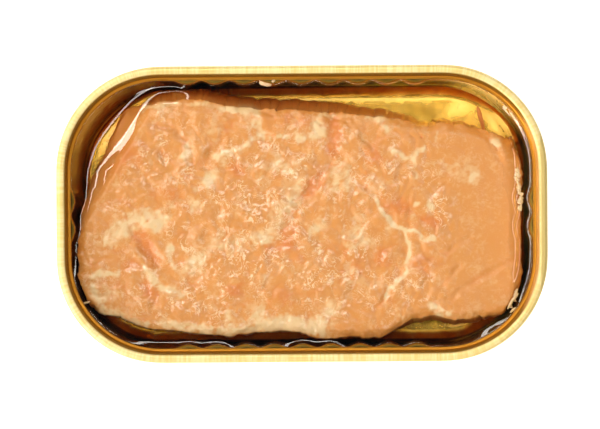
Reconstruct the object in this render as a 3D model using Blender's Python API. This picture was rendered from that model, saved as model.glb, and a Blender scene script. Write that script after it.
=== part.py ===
"""An open rectangular fish can with a salmon fillet in oil.

Metres, +Z up. X runs along the can and Y across it. The origin is under the middle of the
can, on the surface that it stands on. Places round the can are given as an offset, inwards
from the seam's outer edge, and a height.
"""

import math

import bmesh
import bpy
from mathutils import Vector, noise

MM = 0.001

# The can's outer sizes, over the seam
CAN_LENGTH = 105.0 * MM
CAN_WIDTH = 63.4 * MM
CAN_HEIGHT = 24.0 * MM
CORNER_RADIUS = 22.2 * MM
SHEET = 0.3 * MM
GAP = 0.3 * MM

# The seam ring: a rolled rim with the lip that the torn-off lid leaves
SEAM_WIDTH = 2.0 * MM
SEAM_HEIGHT = 3.1 * MM
SEAM_CROWN = 0.75 * MM
HOOK_REACH = 0.65 * MM
LIP_OFFSET = 2.95 * MM

# The drawn tray under the seam
FLANGE_DROP = 0.75 * MM
NECK_OFFSET = 1.15 * MM
NECK_HEIGHT = 2.65 * MM
SHOULDER_HEIGHT = 1.4 * MM
WALL_TOP_OFFSET = 2.85 * MM
WALL_FOOT_OFFSET = 3.15 * MM
BOTTOM_RADIUS = 2.45 * MM
BASE_RING = 7.6 * MM
PANEL_STEP = 0.5 * MM
PANEL_SLOPE = 0.7 * MM

# Upright ribs pressed inwards along the straight sides
RIB_PITCH = 6.14 * MM
RIB_DEPTH = 0.85 * MM
RIB_FADE = 1.6 * MM
RIB_CLEARANCE = 1.0 * MM
RIB_FULLNESS = 1.4
RIBS_LONG_SIDE = 9
RIBS_SHORT_SIDE = 2

# Facets
RIB_STEPS = 6
CORNER_STEPS = 7
RADIUS_STEPS = 4
FILLET_COLUMNS = 46
FILLET_ROWS = 25
EDGE_SAMPLES = 16

# The oil and the fillet
OIL_LEVEL = 16.3 * MM
FILLET_BASE = 1.1 * MM
FILLET_TOP = 17.7 * MM
FILLET_SHOULDER = 14.6 * MM
FLAKE_RELIEF = 0.5 * MM
FLAKE_SIZE = (8.5 * MM, 6.5 * MM)
FLAKE_SEED = 2.3
CRAG_RELIEF = 0.35 * MM
CRAG_SIZE = 3.3 * MM
CRAG_SEED = 7.1
FILLET_LENGTH = 92.0 * MM
FILLET_WIDTH = 45.0 * MM

# The fillet's outline seen from above, in millimetres, as four sides between its corners
OUTLINE_BOTTOM = ((-45.3, -19.5), (-43.2, -21.2), (-39.4, -21.9), (-34.4, -24.1), (-26.9, -24.8),
                  (-17.4, -26.1), (-9.0, -25.4), (-1.9, -25.2), (3.5, -26.7), (10.0, -26.5),
                  (16.6, -26.6), (20.0, -25.0), (23.0, -23.0), (28.0, -22.1), (33.0, -23.0),
                  (38.0, -22.1), (42.4, -21.9), (44.9, -18.6))
OUTLINE_TOP = ((-39.2, 20.5), (-37.6, 22.8), (-34.0, 23.4), (-26.5, 24.6), (-21.0, 24.5),
               (-15.0, 23.0), (-3.1, 22.4), (9.8, 21.4), (21.5, 20.1), (26.4, 18.7),
               (31.4, 19.3), (39.9, 17.5), (44.2, 15.6))
OUTLINE_LEFT = ((-45.3, -19.5), (-47.2, -16.2), (-48.1, -12.0), (-47.8, -3.0), (-46.4, 4.6),
                (-42.9, 11.5), (-40.6, 17.3), (-39.2, 20.5))
OUTLINE_RIGHT = ((44.9, -18.6), (46.6, -17.0), (47.5, -12.5), (47.1, -3.6), (47.6, 6.5),
                 (46.6, 11.6), (44.2, 15.6))

# How far the top rounds over at each side: reach in from the side, and drop at the side
ROUND_LEFT = (4.5 * MM, 1.0 * MM)
ROUND_RIGHT = (5.5 * MM, 1.1 * MM)
ROUND_TOP = (3.2 * MM, 0.9 * MM)
ROUND_BOTTOM = (3.4 * MM, 1.1 * MM)
# The upper left corner slopes down under the oil beyond a line, in millimetres, between two
# distances from it, and the right end sinks a little and is smoother
CORNER_LINE = ((-32.6, 24.0), (-43.9, 6.5))
CORNER_SINK = (-3.0 * MM, 4.0 * MM, 3.2 * MM)
END_SINK = (30.0 * MM, 48.0 * MM, 0.9 * MM)
END_SMOOTH = (20.0 * MM, 34.0 * MM, 0.6)

# Furrows between the flakes, in millimetres: depth, half width, then the route
FURROWS = (
    (0.9, 1.5, (-33.6, -4.6), (-31.4, -8.2), (-30.6, -10.4)),
    (0.5, 1.2, (-45.0, -16.0), (-38.0, -15.0), (-32.0, -16.6), (-26.0, -16.4), (-18.0, -10.0)),
    (0.5, 1.4, (-15.6, 19.0), (-18.4, 12.6), (-24.0, 8.4)),
    (0.5, 1.6, (6.8, 20.0), (6.2, 14.0), (2.0, 5.6), (-4.0, -4.6), (-7.0, -9.0)),
    (0.4, 1.1, (38.4, -1.4), (33.6, -6.4), (28.2, -10.2)),
    (0.4, 1.1, (44.8, -10.2), (36.2, -14.6), (29.2, -19.6)),
    (0.4, 1.0, (-45.0, 2.0), (-38.0, 2.4), (-34.6, 0.8)),
    (0.5, 1.2, (16.2, 3.6), (22.0, -4.4), (22.6, -9.4), (17.4, -19.0)),
)

GOLD = (0.83, 0.58, 0.22, 1.0)
FLESH = (0.83, 0.42, 0.19, 1.0)
OIL = (0.80, 0.55, 0.12, 1.0)


def clear_scene():
    """Remove every object, so that the file holds the part alone."""
    for old in list(bpy.data.objects):
        bpy.data.objects.remove(old, do_unlink=True)


def make_material(name, color, metallic, roughness):
    """Make a Principled material."""
    material = bpy.data.materials.new(name)
    material.use_nodes = True
    shader = material.node_tree.nodes["Principled BSDF"]
    shader.inputs["Base Color"].default_value = color
    shader.inputs["Metallic"].default_value = metallic
    shader.inputs["Roughness"].default_value = roughness
    return material


def add_object(name, bm, material):
    """Turn a bmesh into a named object with faces that point outwards."""
    bmesh.ops.recalc_face_normals(bm, faces=bm.faces)
    mesh = bpy.data.meshes.new(name)
    bm.to_mesh(mesh)
    bm.free()
    mesh.materials.append(material)
    piece = bpy.data.objects.new(name, mesh)
    bpy.context.scene.collection.objects.link(piece)
    return piece


def smoothstep(low, high, value):
    """Rise smoothly from 0 at low to 1 at high."""
    share = min(max((value - low) / (high - low), 0.0), 1.0)
    return share * share * (3.0 - 2.0 * share)


# --- Loops round the can ---------------------------------------------------------------


def rib_height(along, count):
    """Height from 0 to 1 of a side's ribs, at a distance along it from its middle."""
    phase = along / RIB_PITCH + count / 2.0
    if not 0.0 < phase < count:
        return 0.0
    return math.sin(math.pi * (phase % 1.0)) ** RIB_FULLNESS


def side_stations(count, half_straight, rib_steps):
    """Distances along a straight side from its middle, end points included."""
    half_ribs = count * RIB_PITCH / 2.0
    steps = count * rib_steps
    ribs = [half_ribs * (2.0 * step / steps - 1.0) for step in range(steps + 1)] if steps else []
    return [-half_straight] + ribs + [half_straight]


def can_stations(rib_steps):
    """Stations round the seam's outer edge: point, inward direction, rib height, on a side."""
    stations = []
    half_x = CAN_LENGTH / 2.0
    half_y = CAN_WIDTH / 2.0
    for turn in range(4):
        angle = turn * math.pi / 2.0
        out = Vector((math.cos(angle), math.sin(angle)))
        along = Vector((-out.y, out.x))
        long_side = turn % 2 == 1
        reach = half_y if long_side else half_x
        straight = (half_x if long_side else half_y) - CORNER_RADIUS
        count = RIBS_LONG_SIDE if long_side else RIBS_SHORT_SIDE
        distances = side_stations(count, straight, rib_steps)
        for distance in distances:
            inner = abs(distance) < straight - 1e-6
            point = out * reach + along * distance
            stations.append((point, -out, rib_height(distance, count), inner))
        centre = out * (reach - CORNER_RADIUS) + along * straight
        for step in range(1, CORNER_STEPS):
            bend = angle + step * math.pi / 2.0 / CORNER_STEPS
            ray = Vector((math.cos(bend), math.sin(bend)))
            stations.append((centre + ray * CORNER_RADIUS, -ray, 0.0, False))
    return stations


def place(station, offset, height, rib_share):
    """Point of a loop at a station."""
    point, inwards, rib, _ = station
    spot = point + inwards * (offset + RIB_DEPTH * rib * rib_share)
    return Vector((spot.x, spot.y, height))


def loft(bm, stations, rows):
    """Skin the loops that rows of (offset, height, rib share) give. Returns the end loops."""
    layer = bm.verts.layers.int.new("station")
    ring = [bm.verts.new(place(station, *rows[0])) for station in stations]
    for index, vert in enumerate(ring):
        vert[layer] = index
    first = [bm.edges.new((ring[index - 1], ring[index])) for index in range(len(ring))]
    edges = first
    for row in rows[1:]:
        made = bmesh.ops.extrude_edge_only(bm, edges=edges)["geom"]
        edges = [item for item in made if isinstance(item, bmesh.types.BMEdge)]
        for item in made:
            if isinstance(item, bmesh.types.BMVert):
                item.co = place(stations[item[layer]], *row)
    return first, edges


def merge_flat_strips(bm, stations):
    """Merge the facets of the plain stretches, where the ribs' stations aren't needed."""
    layer = bm.verts.layers.int["station"]
    verts = [vert for vert in bm.verts if stations[vert[layer]][3]]
    inner = set(verts)
    edges = [edge for edge in bm.edges
             if edge.verts[0] in inner and edge.verts[0][layer] == edge.verts[1][layer]]
    bmesh.ops.dissolve_limit(bm, angle_limit=math.radians(0.5), verts=verts, edges=edges,
                             use_dissolve_boundaries=False)


def parallel(rows, distance):
    """Rows shifted to one side of a profile, inwards where it runs down."""
    shifted = []
    for index, (offset, height, share) in enumerate(rows):
        before = rows[max(index - 1, 0)]
        after = rows[min(index + 1, len(rows) - 1)]
        run = Vector((after[0] - before[0], after[1] - before[1])).normalized()
        shifted.append((offset - run.y * distance, height + run.x * distance, share))
    return shifted


def arc_rows(offset, height, radius, start, end, steps):
    """Rows along an arc round a centre, with angles in degrees."""
    rows = []
    for step in range(steps + 1):
        angle = math.radians(start + (end - start) * step / steps)
        rows.append((offset + radius * math.cos(angle), height + radius * math.sin(angle), 0.0))
    return rows


# --- The can -----------------------------------------------------------------------------


def shoulder_foot():
    """Height at which the neck's shoulder meets the ribbed wall."""
    return CAN_HEIGHT - FLANGE_DROP - NECK_HEIGHT - SHOULDER_HEIGHT


def wall_offset(height):
    """Offset of the wall's mid-sheet at a height between its foot and its top."""
    foot = BOTTOM_RADIUS + SHEET / 2.0
    if height < foot:
        drop = min(foot - height, BOTTOM_RADIUS)
        centre = WALL_FOOT_OFFSET + BOTTOM_RADIUS
        return centre - math.sqrt(BOTTOM_RADIUS ** 2 - drop ** 2)
    share = (height - foot) / (shoulder_foot() - foot)
    return WALL_FOOT_OFFSET + (WALL_TOP_OFFSET - WALL_FOOT_OFFSET) * share


def rib_foot():
    """Height at which the ribs begin."""
    return BOTTOM_RADIUS + SHEET / 2.0 + RIB_CLEARANCE


def rib_share(height):
    """Share of the ribs' depth at a height: full in the middle and gone at both ends."""
    low = smoothstep(rib_foot(), rib_foot() + RIB_FADE, height)
    high = 1.0 - smoothstep(shoulder_foot() - RIB_FADE * 0.5, shoulder_foot() + RIB_FADE, height)
    return min(low, high)


def tray_profile():
    """Mid-sheet rows of the tray, from the flange in the seam down to the base panel."""
    flange = CAN_HEIGHT - FLANGE_DROP
    neck_foot = flange - NECK_HEIGHT
    top = shoulder_foot()
    foot = BOTTOM_RADIUS + SHEET / 2.0
    rows = [(0.6 * MM, flange, 0.0),
            (NECK_OFFSET - 0.15 * MM, flange, 0.0),
            (NECK_OFFSET, flange - 0.15 * MM, 0.0),
            (NECK_OFFSET, neck_foot, 0.0)]
    middle = (NECK_OFFSET + WALL_TOP_OFFSET) / 2.0
    rows.append((middle, (neck_foot + top) / 2.0, 0.0))
    heights = (top, top - RIB_FADE * 0.5, rib_foot() + RIB_FADE, rib_foot())
    rows += [(wall_offset(height), height, rib_share(height)) for height in heights]
    rows += arc_rows(WALL_FOOT_OFFSET + BOTTOM_RADIUS, foot, BOTTOM_RADIUS, 180, 270, RADIUS_STEPS)
    ring_end = WALL_FOOT_OFFSET + BOTTOM_RADIUS + BASE_RING
    base = SHEET / 2.0
    rows += [(ring_end, base, 0.0),
             (ring_end + PANEL_SLOPE, base + PANEL_STEP, 0.0),
             (ring_end + 2.0 * PANEL_SLOPE, base + PANEL_STEP, 0.0)]
    return rows


def build_tray(material):
    """The drawn tray: flange, neck, ribbed wall, bottom radius and raised base panel."""
    bm = bmesh.new()
    stations = can_stations(RIB_STEPS)
    profile = tray_profile()
    outside = parallel(profile, -SHEET / 2.0)
    inside = parallel(profile, SHEET / 2.0)
    first, last = loft(bm, stations, outside[::-1] + inside)
    bmesh.ops.edgeloop_fill(bm, edges=first)
    bmesh.ops.edgeloop_fill(bm, edges=last)
    merge_flat_strips(bm, stations)
    return add_object("can_body", bm, material)


def seam_profile():
    """Mid-sheet rows of the seam ring, from its hook over the crown to the lip's edge."""
    top = CAN_HEIGHT - SHEET / 2.0
    low = CAN_HEIGHT - SEAM_HEIGHT + SHEET / 2.0
    outer = SHEET / 2.0
    inner = SEAM_WIDTH - SHEET / 2.0
    rows = [(HOOK_REACH - SHEET / 2.0, low, 0.0), (outer + 0.18 * MM, low + 0.04 * MM, 0.0)]
    rows.append((outer, low + 0.35 * MM, 0.0))
    rows += arc_rows(outer + SEAM_CROWN, top - SEAM_CROWN, SEAM_CROWN, 180, 90, 3)
    rows += arc_rows(inner - SEAM_CROWN, top - SEAM_CROWN, SEAM_CROWN, 90, 0, 3)
    rows += [(inner + 0.25 * MM, low + 0.45 * MM, 0.0),
             (inner + 0.45 * MM, low + 0.1 * MM, 0.0),
             (inner + 0.75 * MM, low, 0.0),
             (LIP_OFFSET, low, 0.0)]
    return rows


def build_seam_ring(material):
    """The rolled seam over the tray's flange, with the lip left by the lid."""
    bm = bmesh.new()
    profile = seam_profile()
    rows = parallel(profile, -SHEET / 2.0) + parallel(profile, SHEET / 2.0)[::-1]
    loft(bm, can_stations(0), rows + rows[:1])
    bmesh.ops.remove_doubles(bm, verts=bm.verts, dist=GAP * 0.01)
    return add_object("lid_ring", bm, material)


# --- The fillet --------------------------------------------------------------------------


def curve_point(points, share):
    """Point at a share of the way along a smooth curve through points in millimetres."""
    last = len(points) - 1
    span = min(int(share * last), last - 1)
    step = share * last - span
    p1 = Vector(points[span])
    p2 = Vector(points[span + 1])
    p0 = Vector(points[span - 1]) if span else p1 * 2.0 - p2
    p3 = Vector(points[span + 2]) if span + 2 <= last else p2 * 2.0 - p1
    bend = (p0 * -1.0 + p1 * 3.0 - p2 * 3.0 + p3) * step ** 3
    bend += (p0 * 2.0 - p1 * 5.0 + p2 * 4.0 - p3) * step ** 2
    return (p1 * 2.0 + (p2 - p0) * step + bend) * (0.5 * MM)


def even_curve(points):
    """Samples of a curve and the share of its length at each, for even spacing."""
    count = EDGE_SAMPLES * (len(points) - 1)
    samples = [curve_point(points, index / count) for index in range(count + 1)]
    lengths = [0.0]
    for before, after in zip(samples, samples[1:]):
        lengths.append(lengths[-1] + (after - before).length)
    return samples, [length / lengths[-1] for length in lengths]


def along_curve(curve, share):
    """Point of an even curve at a share of its length."""
    samples, shares = curve
    index = 1
    while index < len(shares) - 1 and shares[index] < share:
        index += 1
    part = (share - shares[index - 1]) / (shares[index] - shares[index - 1])
    return samples[index - 1].lerp(samples[index], part)


class FilletPatch:
    """The fillet's plan: maps shares across and up it to a point between its four sides."""

    def __init__(self):
        self.bottom = even_curve(OUTLINE_BOTTOM)
        self.top = even_curve(OUTLINE_TOP)
        self.left = even_curve(OUTLINE_LEFT)
        self.right = even_curve(OUTLINE_RIGHT)

    def point(self, across, up):
        """Plan point, blended between the sides."""
        low = along_curve(self.bottom, across)
        high = along_curve(self.top, across)
        west = along_curve(self.left, up)
        east = along_curve(self.right, up)
        bottom_corners = self.bottom[0][0] * (1.0 - across) + self.bottom[0][-1] * across
        top_corners = self.top[0][0] * (1.0 - across) + self.top[0][-1] * across
        between = low * (1.0 - up) + high * up + west * (1.0 - across) + east * across
        return between - bottom_corners * (1.0 - up) - top_corners * up


def round_over(distance, rounding):
    """Drop of the top at a distance in from a side."""
    reach, drop = rounding
    share = min(max(1.0 - distance / reach, 0.0), 1.0)
    return drop * share * share


def furrow_depth(spot):
    """Depth of the furrows at a plan point."""
    depth = 0.0
    for deep, half_width, *route in FURROWS:
        for start, end in zip(route, route[1:]):
            start = Vector(start) * MM
            run = Vector(end) * MM - start
            share = min(max((spot - start).dot(run) / run.length_squared, 0.0), 1.0)
            away = (spot - start - run * share).length / (half_width * MM)
            depth = max(depth, deep * MM * math.exp(-away * away))
    return depth


def flake_relief(spot):
    """Broad swells and small crags of the flakes at a plan point."""
    broad = noise.noise(Vector((spot.x / FLAKE_SIZE[0], spot.y / FLAKE_SIZE[1], FLAKE_SEED)))
    crag = noise.noise(Vector((spot.x / CRAG_SIZE, spot.y / CRAG_SIZE, CRAG_SEED)))
    low, high, smooth = END_SMOOTH
    roughness = 1.0 - smooth * smoothstep(low, high, spot.x)
    return (broad * FLAKE_RELIEF + crag * CRAG_RELIEF) * roughness


def corner_sink(spot):
    """How far the upper left corner has sunk at a plan point."""
    start = Vector(CORNER_LINE[0]) * MM
    run = (Vector(CORNER_LINE[1]) * MM - start).normalized()
    beyond = (spot - start).dot(Vector((run.y, -run.x)))
    low, high, sink = CORNER_SINK
    return sink * smoothstep(low, high, beyond)


def top_height(spot, across, up):
    """Height of the fillet's top at a plan point."""
    height = FILLET_TOP + flake_relief(spot) - furrow_depth(spot) - corner_sink(spot)
    height -= round_over(across * FILLET_LENGTH, ROUND_LEFT)
    height -= round_over((1.0 - across) * FILLET_LENGTH, ROUND_RIGHT)
    height -= round_over(up * FILLET_WIDTH, ROUND_BOTTOM)
    height -= round_over((1.0 - up) * FILLET_WIDTH, ROUND_TOP)
    low, high, sink = END_SINK
    return height - sink * smoothstep(low, high, spot.x)


def spread(share):
    """Crowd the grid's lines towards both ends of a side."""
    turn = 2.0 * share - 1.0
    return 0.5 + 0.5 * math.copysign(1.0 - (1.0 - abs(turn)) ** 1.35, turn)


def fillet_bmesh():
    """The fillet as a closed bmesh: a relief on top, a rounded flank and a flat base."""
    bm = bmesh.new()
    bmesh.ops.create_grid(bm, x_segments=FILLET_COLUMNS, y_segments=FILLET_ROWS, size=0.5)
    patch = FilletPatch()
    for vert in bm.verts:
        across = spread(vert.co.x + 0.5)
        up = spread(vert.co.y + 0.5)
        spot = patch.point(across, up)
        vert.co = (spot.x, spot.y, top_height(spot, across, up))
    rim = [edge for edge in bm.edges if edge.is_boundary]
    for height, swell in flank_rows():
        rim = extrude_flank(bm, rim, height, swell)
    bmesh.ops.edgeloop_fill(bm, edges=rim)
    return bm


def flank_rows():
    """Heights down the fillet's flank, each with its outward step from the row above."""
    return ((FILLET_SHOULDER, 0.25 * MM), (9.0 * MM, 0.15 * MM),
            (3.2 * MM, -0.35 * MM), (FILLET_BASE, -1.3 * MM))


def extrude_flank(bm, rim, height, swell):
    """Extrude the flank's lowest loop down to a height, stepping outwards by swell."""
    made = bmesh.ops.extrude_edge_only(bm, edges=rim)["geom"]
    edges = [item for item in made if isinstance(item, bmesh.types.BMEdge)]
    verts = [item for item in made if isinstance(item, bmesh.types.BMVert)]
    steps = []
    for vert in verts:
        near = [edge.other_vert(vert).co.xy for edge in vert.link_edges if edge in set(edges)]
        run = near[1] - near[0]
        out = Vector((run.y, -run.x)).normalized()
        if out.dot(vert.co.xy) < 0.0:
            out.negate()
        steps.append((vert, out * swell))
    for vert, step in steps:
        vert.co = (vert.co.x + step.x, vert.co.y + step.y, height)
    return edges


def build_fillet(material):
    """The salmon fillet."""
    return add_object("salmon_fillet", fillet_bmesh(), material)


# --- The oil -----------------------------------------------------------------------------


def fillet_cutter():
    """The fillet grown by the gap, as the tool that makes room for it in the oil."""
    bm = fillet_bmesh()
    bmesh.ops.recalc_face_normals(bm, faces=bm.faces)
    bm.normal_update()
    grown = [(vert, vert.co + vert.normal * GAP) for vert in bm.verts]
    for vert, spot in grown:
        vert.co = spot
    mesh = bpy.data.meshes.new("fillet_cutter")
    bm.to_mesh(mesh)
    bm.free()
    cutter = bpy.data.objects.new("fillet_cutter", mesh)
    bpy.context.scene.collection.objects.link(cutter)
    cutter.hide_render = True
    cutter.display_type = "WIRE"
    return cutter


def build_oil(material):
    """The oil: the tray's inside up to its level, cut round the fillet."""
    bm = bmesh.new()
    stations = can_stations(RIB_STEPS)
    clear = SHEET / 2.0 + GAP
    heights = (FILLET_BASE, 1.9 * MM, 2.9 * MM, rib_foot(), rib_foot() + RIB_FADE, OIL_LEVEL)
    rows = [(wall_offset(height) + clear, height, rib_share(height)) for height in heights]
    first, last = loft(bm, stations, rows)
    bmesh.ops.edgeloop_fill(bm, edges=first)
    bmesh.ops.edgeloop_fill(bm, edges=last)
    merge_flat_strips(bm, stations)
    oil = add_object("oil", bm, material)
    cut = oil.modifiers.new("room_for_fillet", "BOOLEAN")
    cut.operation = "DIFFERENCE"
    cut.object = fillet_cutter()
    return oil


def main():
    clear_scene()
    gold = make_material("gold_lacquer", GOLD, 0.9, 0.32)
    rim_gold = make_material("rim_lacquer", GOLD, 0.9, 0.25)
    build_tray(gold)
    build_seam_ring(rim_gold)
    build_fillet(make_material("salmon", FLESH, 0.0, 0.45))
    build_oil(make_material("oil", OIL, 0.0, 0.08))


main()
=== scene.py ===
"""The looks of an open fish can: a rolled gold rim, a ribbed tray, a salmon fillet and its oil.

Everything is in metres in the frame's own axes: X along the can, Y across it and Z up.
Places round the can are given as an offset inwards from the rim's outer edge and a height.
"""

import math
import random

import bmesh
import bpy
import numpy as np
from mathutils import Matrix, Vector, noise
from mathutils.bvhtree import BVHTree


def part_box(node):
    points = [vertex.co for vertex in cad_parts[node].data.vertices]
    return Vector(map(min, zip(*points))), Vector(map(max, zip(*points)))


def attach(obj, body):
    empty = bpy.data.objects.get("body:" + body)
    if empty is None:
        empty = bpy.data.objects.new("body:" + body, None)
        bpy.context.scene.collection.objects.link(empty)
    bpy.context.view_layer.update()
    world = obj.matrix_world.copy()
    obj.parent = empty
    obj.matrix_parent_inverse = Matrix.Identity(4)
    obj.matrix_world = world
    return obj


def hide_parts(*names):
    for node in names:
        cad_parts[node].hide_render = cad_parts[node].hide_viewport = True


bl_info = {
    "name": "Open Salmon Can",
    "version": (1, 0, 0),
    "blender": (4, 5, 0),
    "location": "View3D > Sidebar > Salmon Can",
    "description": "Builds an open fish can with a salmon fillet in oil",
    "category": "Add Mesh",
}

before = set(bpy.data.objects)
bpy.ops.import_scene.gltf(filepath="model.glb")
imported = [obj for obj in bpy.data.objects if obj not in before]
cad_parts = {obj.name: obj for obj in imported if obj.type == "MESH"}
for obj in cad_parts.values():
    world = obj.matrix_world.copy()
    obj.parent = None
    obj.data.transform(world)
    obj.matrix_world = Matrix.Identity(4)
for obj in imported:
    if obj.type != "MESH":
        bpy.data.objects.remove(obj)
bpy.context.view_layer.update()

MM = 0.001

# --- Sizes ---------------------------------------------------------------------------------

RIM_LOW, RIM_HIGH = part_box("lid_ring")
CAN_LENGTH = RIM_HIGH.x - RIM_LOW.x
CAN_WIDTH = RIM_HIGH.y - RIM_LOW.y
CAN_HEIGHT = RIM_HIGH.z
CORNER_RADIUS = 22.2 * MM
# Steps over one rib and round one corner, for the rim, the tray and the oil
RIM_DETAIL = (2, 14)
TRAY_DETAIL = (12, 26)
OIL_DETAIL = (12, 30)
SHEET = 0.3 * MM
SKIN = SHEET / 2.0

# The rolled seam with the lip that the torn-off lid leaves
SEAM_WIDTH = 2.0 * MM
SEAM_HEIGHT = 3.1 * MM
SEAM_CROWN = 0.75 * MM
HOOK_REACH = 0.65 * MM
LIP_OFFSET = 2.95 * MM
CROWN_STEPS = 6
# Rows from the lip's edge back to the crown's inner edge
LIP_ROWS = 8

# The drawn tray
FLANGE_START = 0.6 * MM
FLANGE_DROP = 0.75 * MM
NECK_OFFSET = 1.15 * MM
NECK_BEND = 0.15 * MM
NECK_HEIGHT = 2.65 * MM
SHOULDER_HEIGHT = 1.4 * MM
SHOULDER_STEPS = 8
WALL_TOP_OFFSET = 2.85 * MM
WALL_FOOT_OFFSET = 3.15 * MM
WALL_STEPS = 20
BOTTOM_RADIUS = 3.4 * MM
BEND_STEPS = 14
BASE_RING = 7.6 * MM
BASE_STEPS = 14
RING_END = WALL_FOOT_OFFSET + BOTTOM_RADIUS + BASE_RING
PANEL_STEP = 0.5 * MM
PANEL_SLOPE = 0.7 * MM
RIB_PITCH = 6.14 * MM
RIB_DEPTH = 0.85 * MM
RIB_FADE = 1.6 * MM
RIB_CLEARANCE = 1.0 * MM
RIB_FULLNESS = 1.4
RIBS_LONG_SIDE = 9
RIBS_SHORT_SIDE = 2

# The fillet
OIL_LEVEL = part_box("oil")[1].z
FILLET_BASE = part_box("salmon_fillet")[0].z
FILLET_TOP = 17.7 * MM
FILLET_SHOULDER = 14.6 * MM
FILLET_LENGTH = 92.0 * MM
FILLET_WIDTH = 45.0 * MM
FILLET_COLUMNS = 350
FILLET_ROWS = 180
# How strongly the grid's lines crowd towards the edges: 1 is evenly
CROWDING = 1.12
# The outline from above, in millimetres: four sides that meet at shared corners
OUTLINE_BOTTOM = (
    (-45.3, -19.5), (-43.2, -21.2), (-39.4, -21.9), (-34.4, -24.1), (-26.9, -24.8), (-17.4, -26.1),
    (-9, -25.4), (-1.9, -25.2), (3.5, -26.7), (10, -26.5), (16.6, -26.6), (20, -25), (23, -23), (28, -22.1),
    (33, -23), (38, -22.1), (42.4, -21.9), (44.9, -18.6),
)
OUTLINE_TOP = (
    (-39.2, 20.5), (-37.6, 22.8), (-34, 23.4), (-26.5, 24.6), (-21, 24.5), (-15, 23), (-3.1, 22.4),
    (9.8, 21.4), (21.5, 20.1), (26.4, 18.7), (31.4, 19.3), (39.9, 17.5), (44.2, 15.6),
)
OUTLINE_LEFT = (
    (-45.3, -19.5), (-47.2, -16.2), (-48.1, -12), (-47.8, -3), (-46.4, 4.6), (-42.9, 11.5), (-40.6, 17.3),
    (-39.2, 20.5),
)
OUTLINE_RIGHT = (
    (44.9, -18.6), (46.3, -17), (47.1, -12.5), (46.8, -3.6), (47.1, 6.5), (46.4, 11.6), (44.2, 15.6),
)
EDGE_SAMPLES = 16
RAGGED_EDGE = 0.45 * MM
RAGGED_REACH = 1.6 * MM
# Layers of noise that fray the edge along X and along Y: size, seed and strength
RAGGED_X = ((2.4 * MM, 91, 1.0), (0.9 * MM, 93, 0.6))
RAGGED_Y = ((2.4 * MM, 95, 1.0), (0.9 * MM, 97, 0.6))
# Reach in from each side over which the top rounds off, and its drop there
ROUND_LEFT = (4.5 * MM, 1.0 * MM)
ROUND_RIGHT = (4.0 * MM, 1.5 * MM)
ROUND_TOP = (3.2 * MM, 0.9 * MM)
ROUND_BOTTOM = (3.4 * MM, 1.1 * MM)
# The upper left corner sinks beyond a line, and the right end towards its edge: start, end, depth
CORNER_LINE = ((-32.6, 24.0), (-44.8, 2.6))
CORNER_SINK = (-1.2 * MM, 3.4 * MM, 3.0 * MM)
END_SINK = (30.0 * MM, 47.5 * MM, 1.4 * MM)
FLAKE_RELIEF = 0.5 * MM
FLAKE_SIZE = (8.5 * MM, 6.5 * MM)
FLAKE_SEED = 2.3
CRAG_RELIEF = 0.35 * MM
CRAG_SIZE = 3.3 * MM
CRAG_SEED = 7.1
PIT_DEPTH = 0.4 * MM
# Where the top gets calm: start and end along X and how calm it gets at the right end, then
# start and end beyond the upper left corner's line
CALM_END = (26.0 * MM, 36.0 * MM, 0.75)
CALM_CORNER = (-3.0 * MM, 1.0 * MM)
# Patterns of the top: the size of their bumps and their seed
LIVELY_SPOTS = (7.0 * MM, 31.7)
CURLS = (1.5 * MM, 5.3)
SMALL_CURLS = (0.85 * MM, 9.1)
LUMPS = (3.4 * MM, 15.2)
GRAINS = (1.7 * MM, 18.6)
ROUGHNESS = (1.7 * MM, 3.9)
# Layers of noise that colour the top: size, seed and strength
GLINT_CLUMPS = ((2.6 * MM, 53, 1.0), (6.0 * MM, 57, 0.5))
PALE_CLOUDS = ((4.0 * MM, 71, 0.35), (1.6 * MM, 73, 0.2))
PALE_GRAIN = ((1.3 * MM, 77, 0.6), (0.6 * MM, 83, 0.35))
BRIGHT_CLOUDS = ((3.0 * MM, 79, 0.25),)
# How the routes and patches waver: size, two seeds and reach
FOLD_WAVER = (2.2 * MM, (41, 47), 0.5 * MM)
PATCH_WAVER = (1.8 * MM, (61, 67), 0.8 * MM)
# Heights of the two kinds of curls; then of lumps, grains and roughness where the flesh is calm,
# each with what is added where it is lively
CURL_HEIGHT = 0.05 * MM
SMALL_CURL_HEIGHT = 0.02 * MM
LUMP_HEIGHTS = (0.03 * MM, 0.17 * MM)
GRAIN_HEIGHTS = (0.01 * MM, 0.10 * MM)
ROUGH_HEIGHTS = (0.03 * MM, 0.09 * MM)
# Heights down the fillet's flank, each with its outward step from the row above
FLANK_ROWS = ((FILLET_SHOULDER + 1.4 * MM, 0.12 * MM), (FILLET_SHOULDER, 0.13 * MM),
              (12.8 * MM, 0.08 * MM), (11.0 * MM, 0.05 * MM), (9.0 * MM, 0.02 * MM),
              (6.0 * MM, -0.15 * MM), (3.2 * MM, -0.2 * MM), (FILLET_BASE + 0.4 * MM, -0.9 * MM),
              (FILLET_BASE, -0.4 * MM))

# How far the soaked flank swells between two heights under the oil, and where along the back
# and, more weakly, along the front: where it starts, is full, fades and ends
SWELL = 0.5 * MM
SWELL_HEIGHTS = (8.0 * MM, FILLET_SHOULDER + 0.1 * MM)
BACK_SWELL = (-34.0 * MM, -28.0 * MM, 2.0 * MM, 44.0 * MM)
FRONT_SWELL = (19.0 * MM, 24.0 * MM, 38.0 * MM, 44.0 * MM)
FRONT_SHARE = 0.4
# Ripples of the flank: their size along it and down it, and their height; then the least drop
# from one of its rows to the next
FLANK_RIPPLES = (2.6 * MM, 3.4 * MM, 0.105 * MM)
FLANK_STEP = 0.2 * MM

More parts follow.
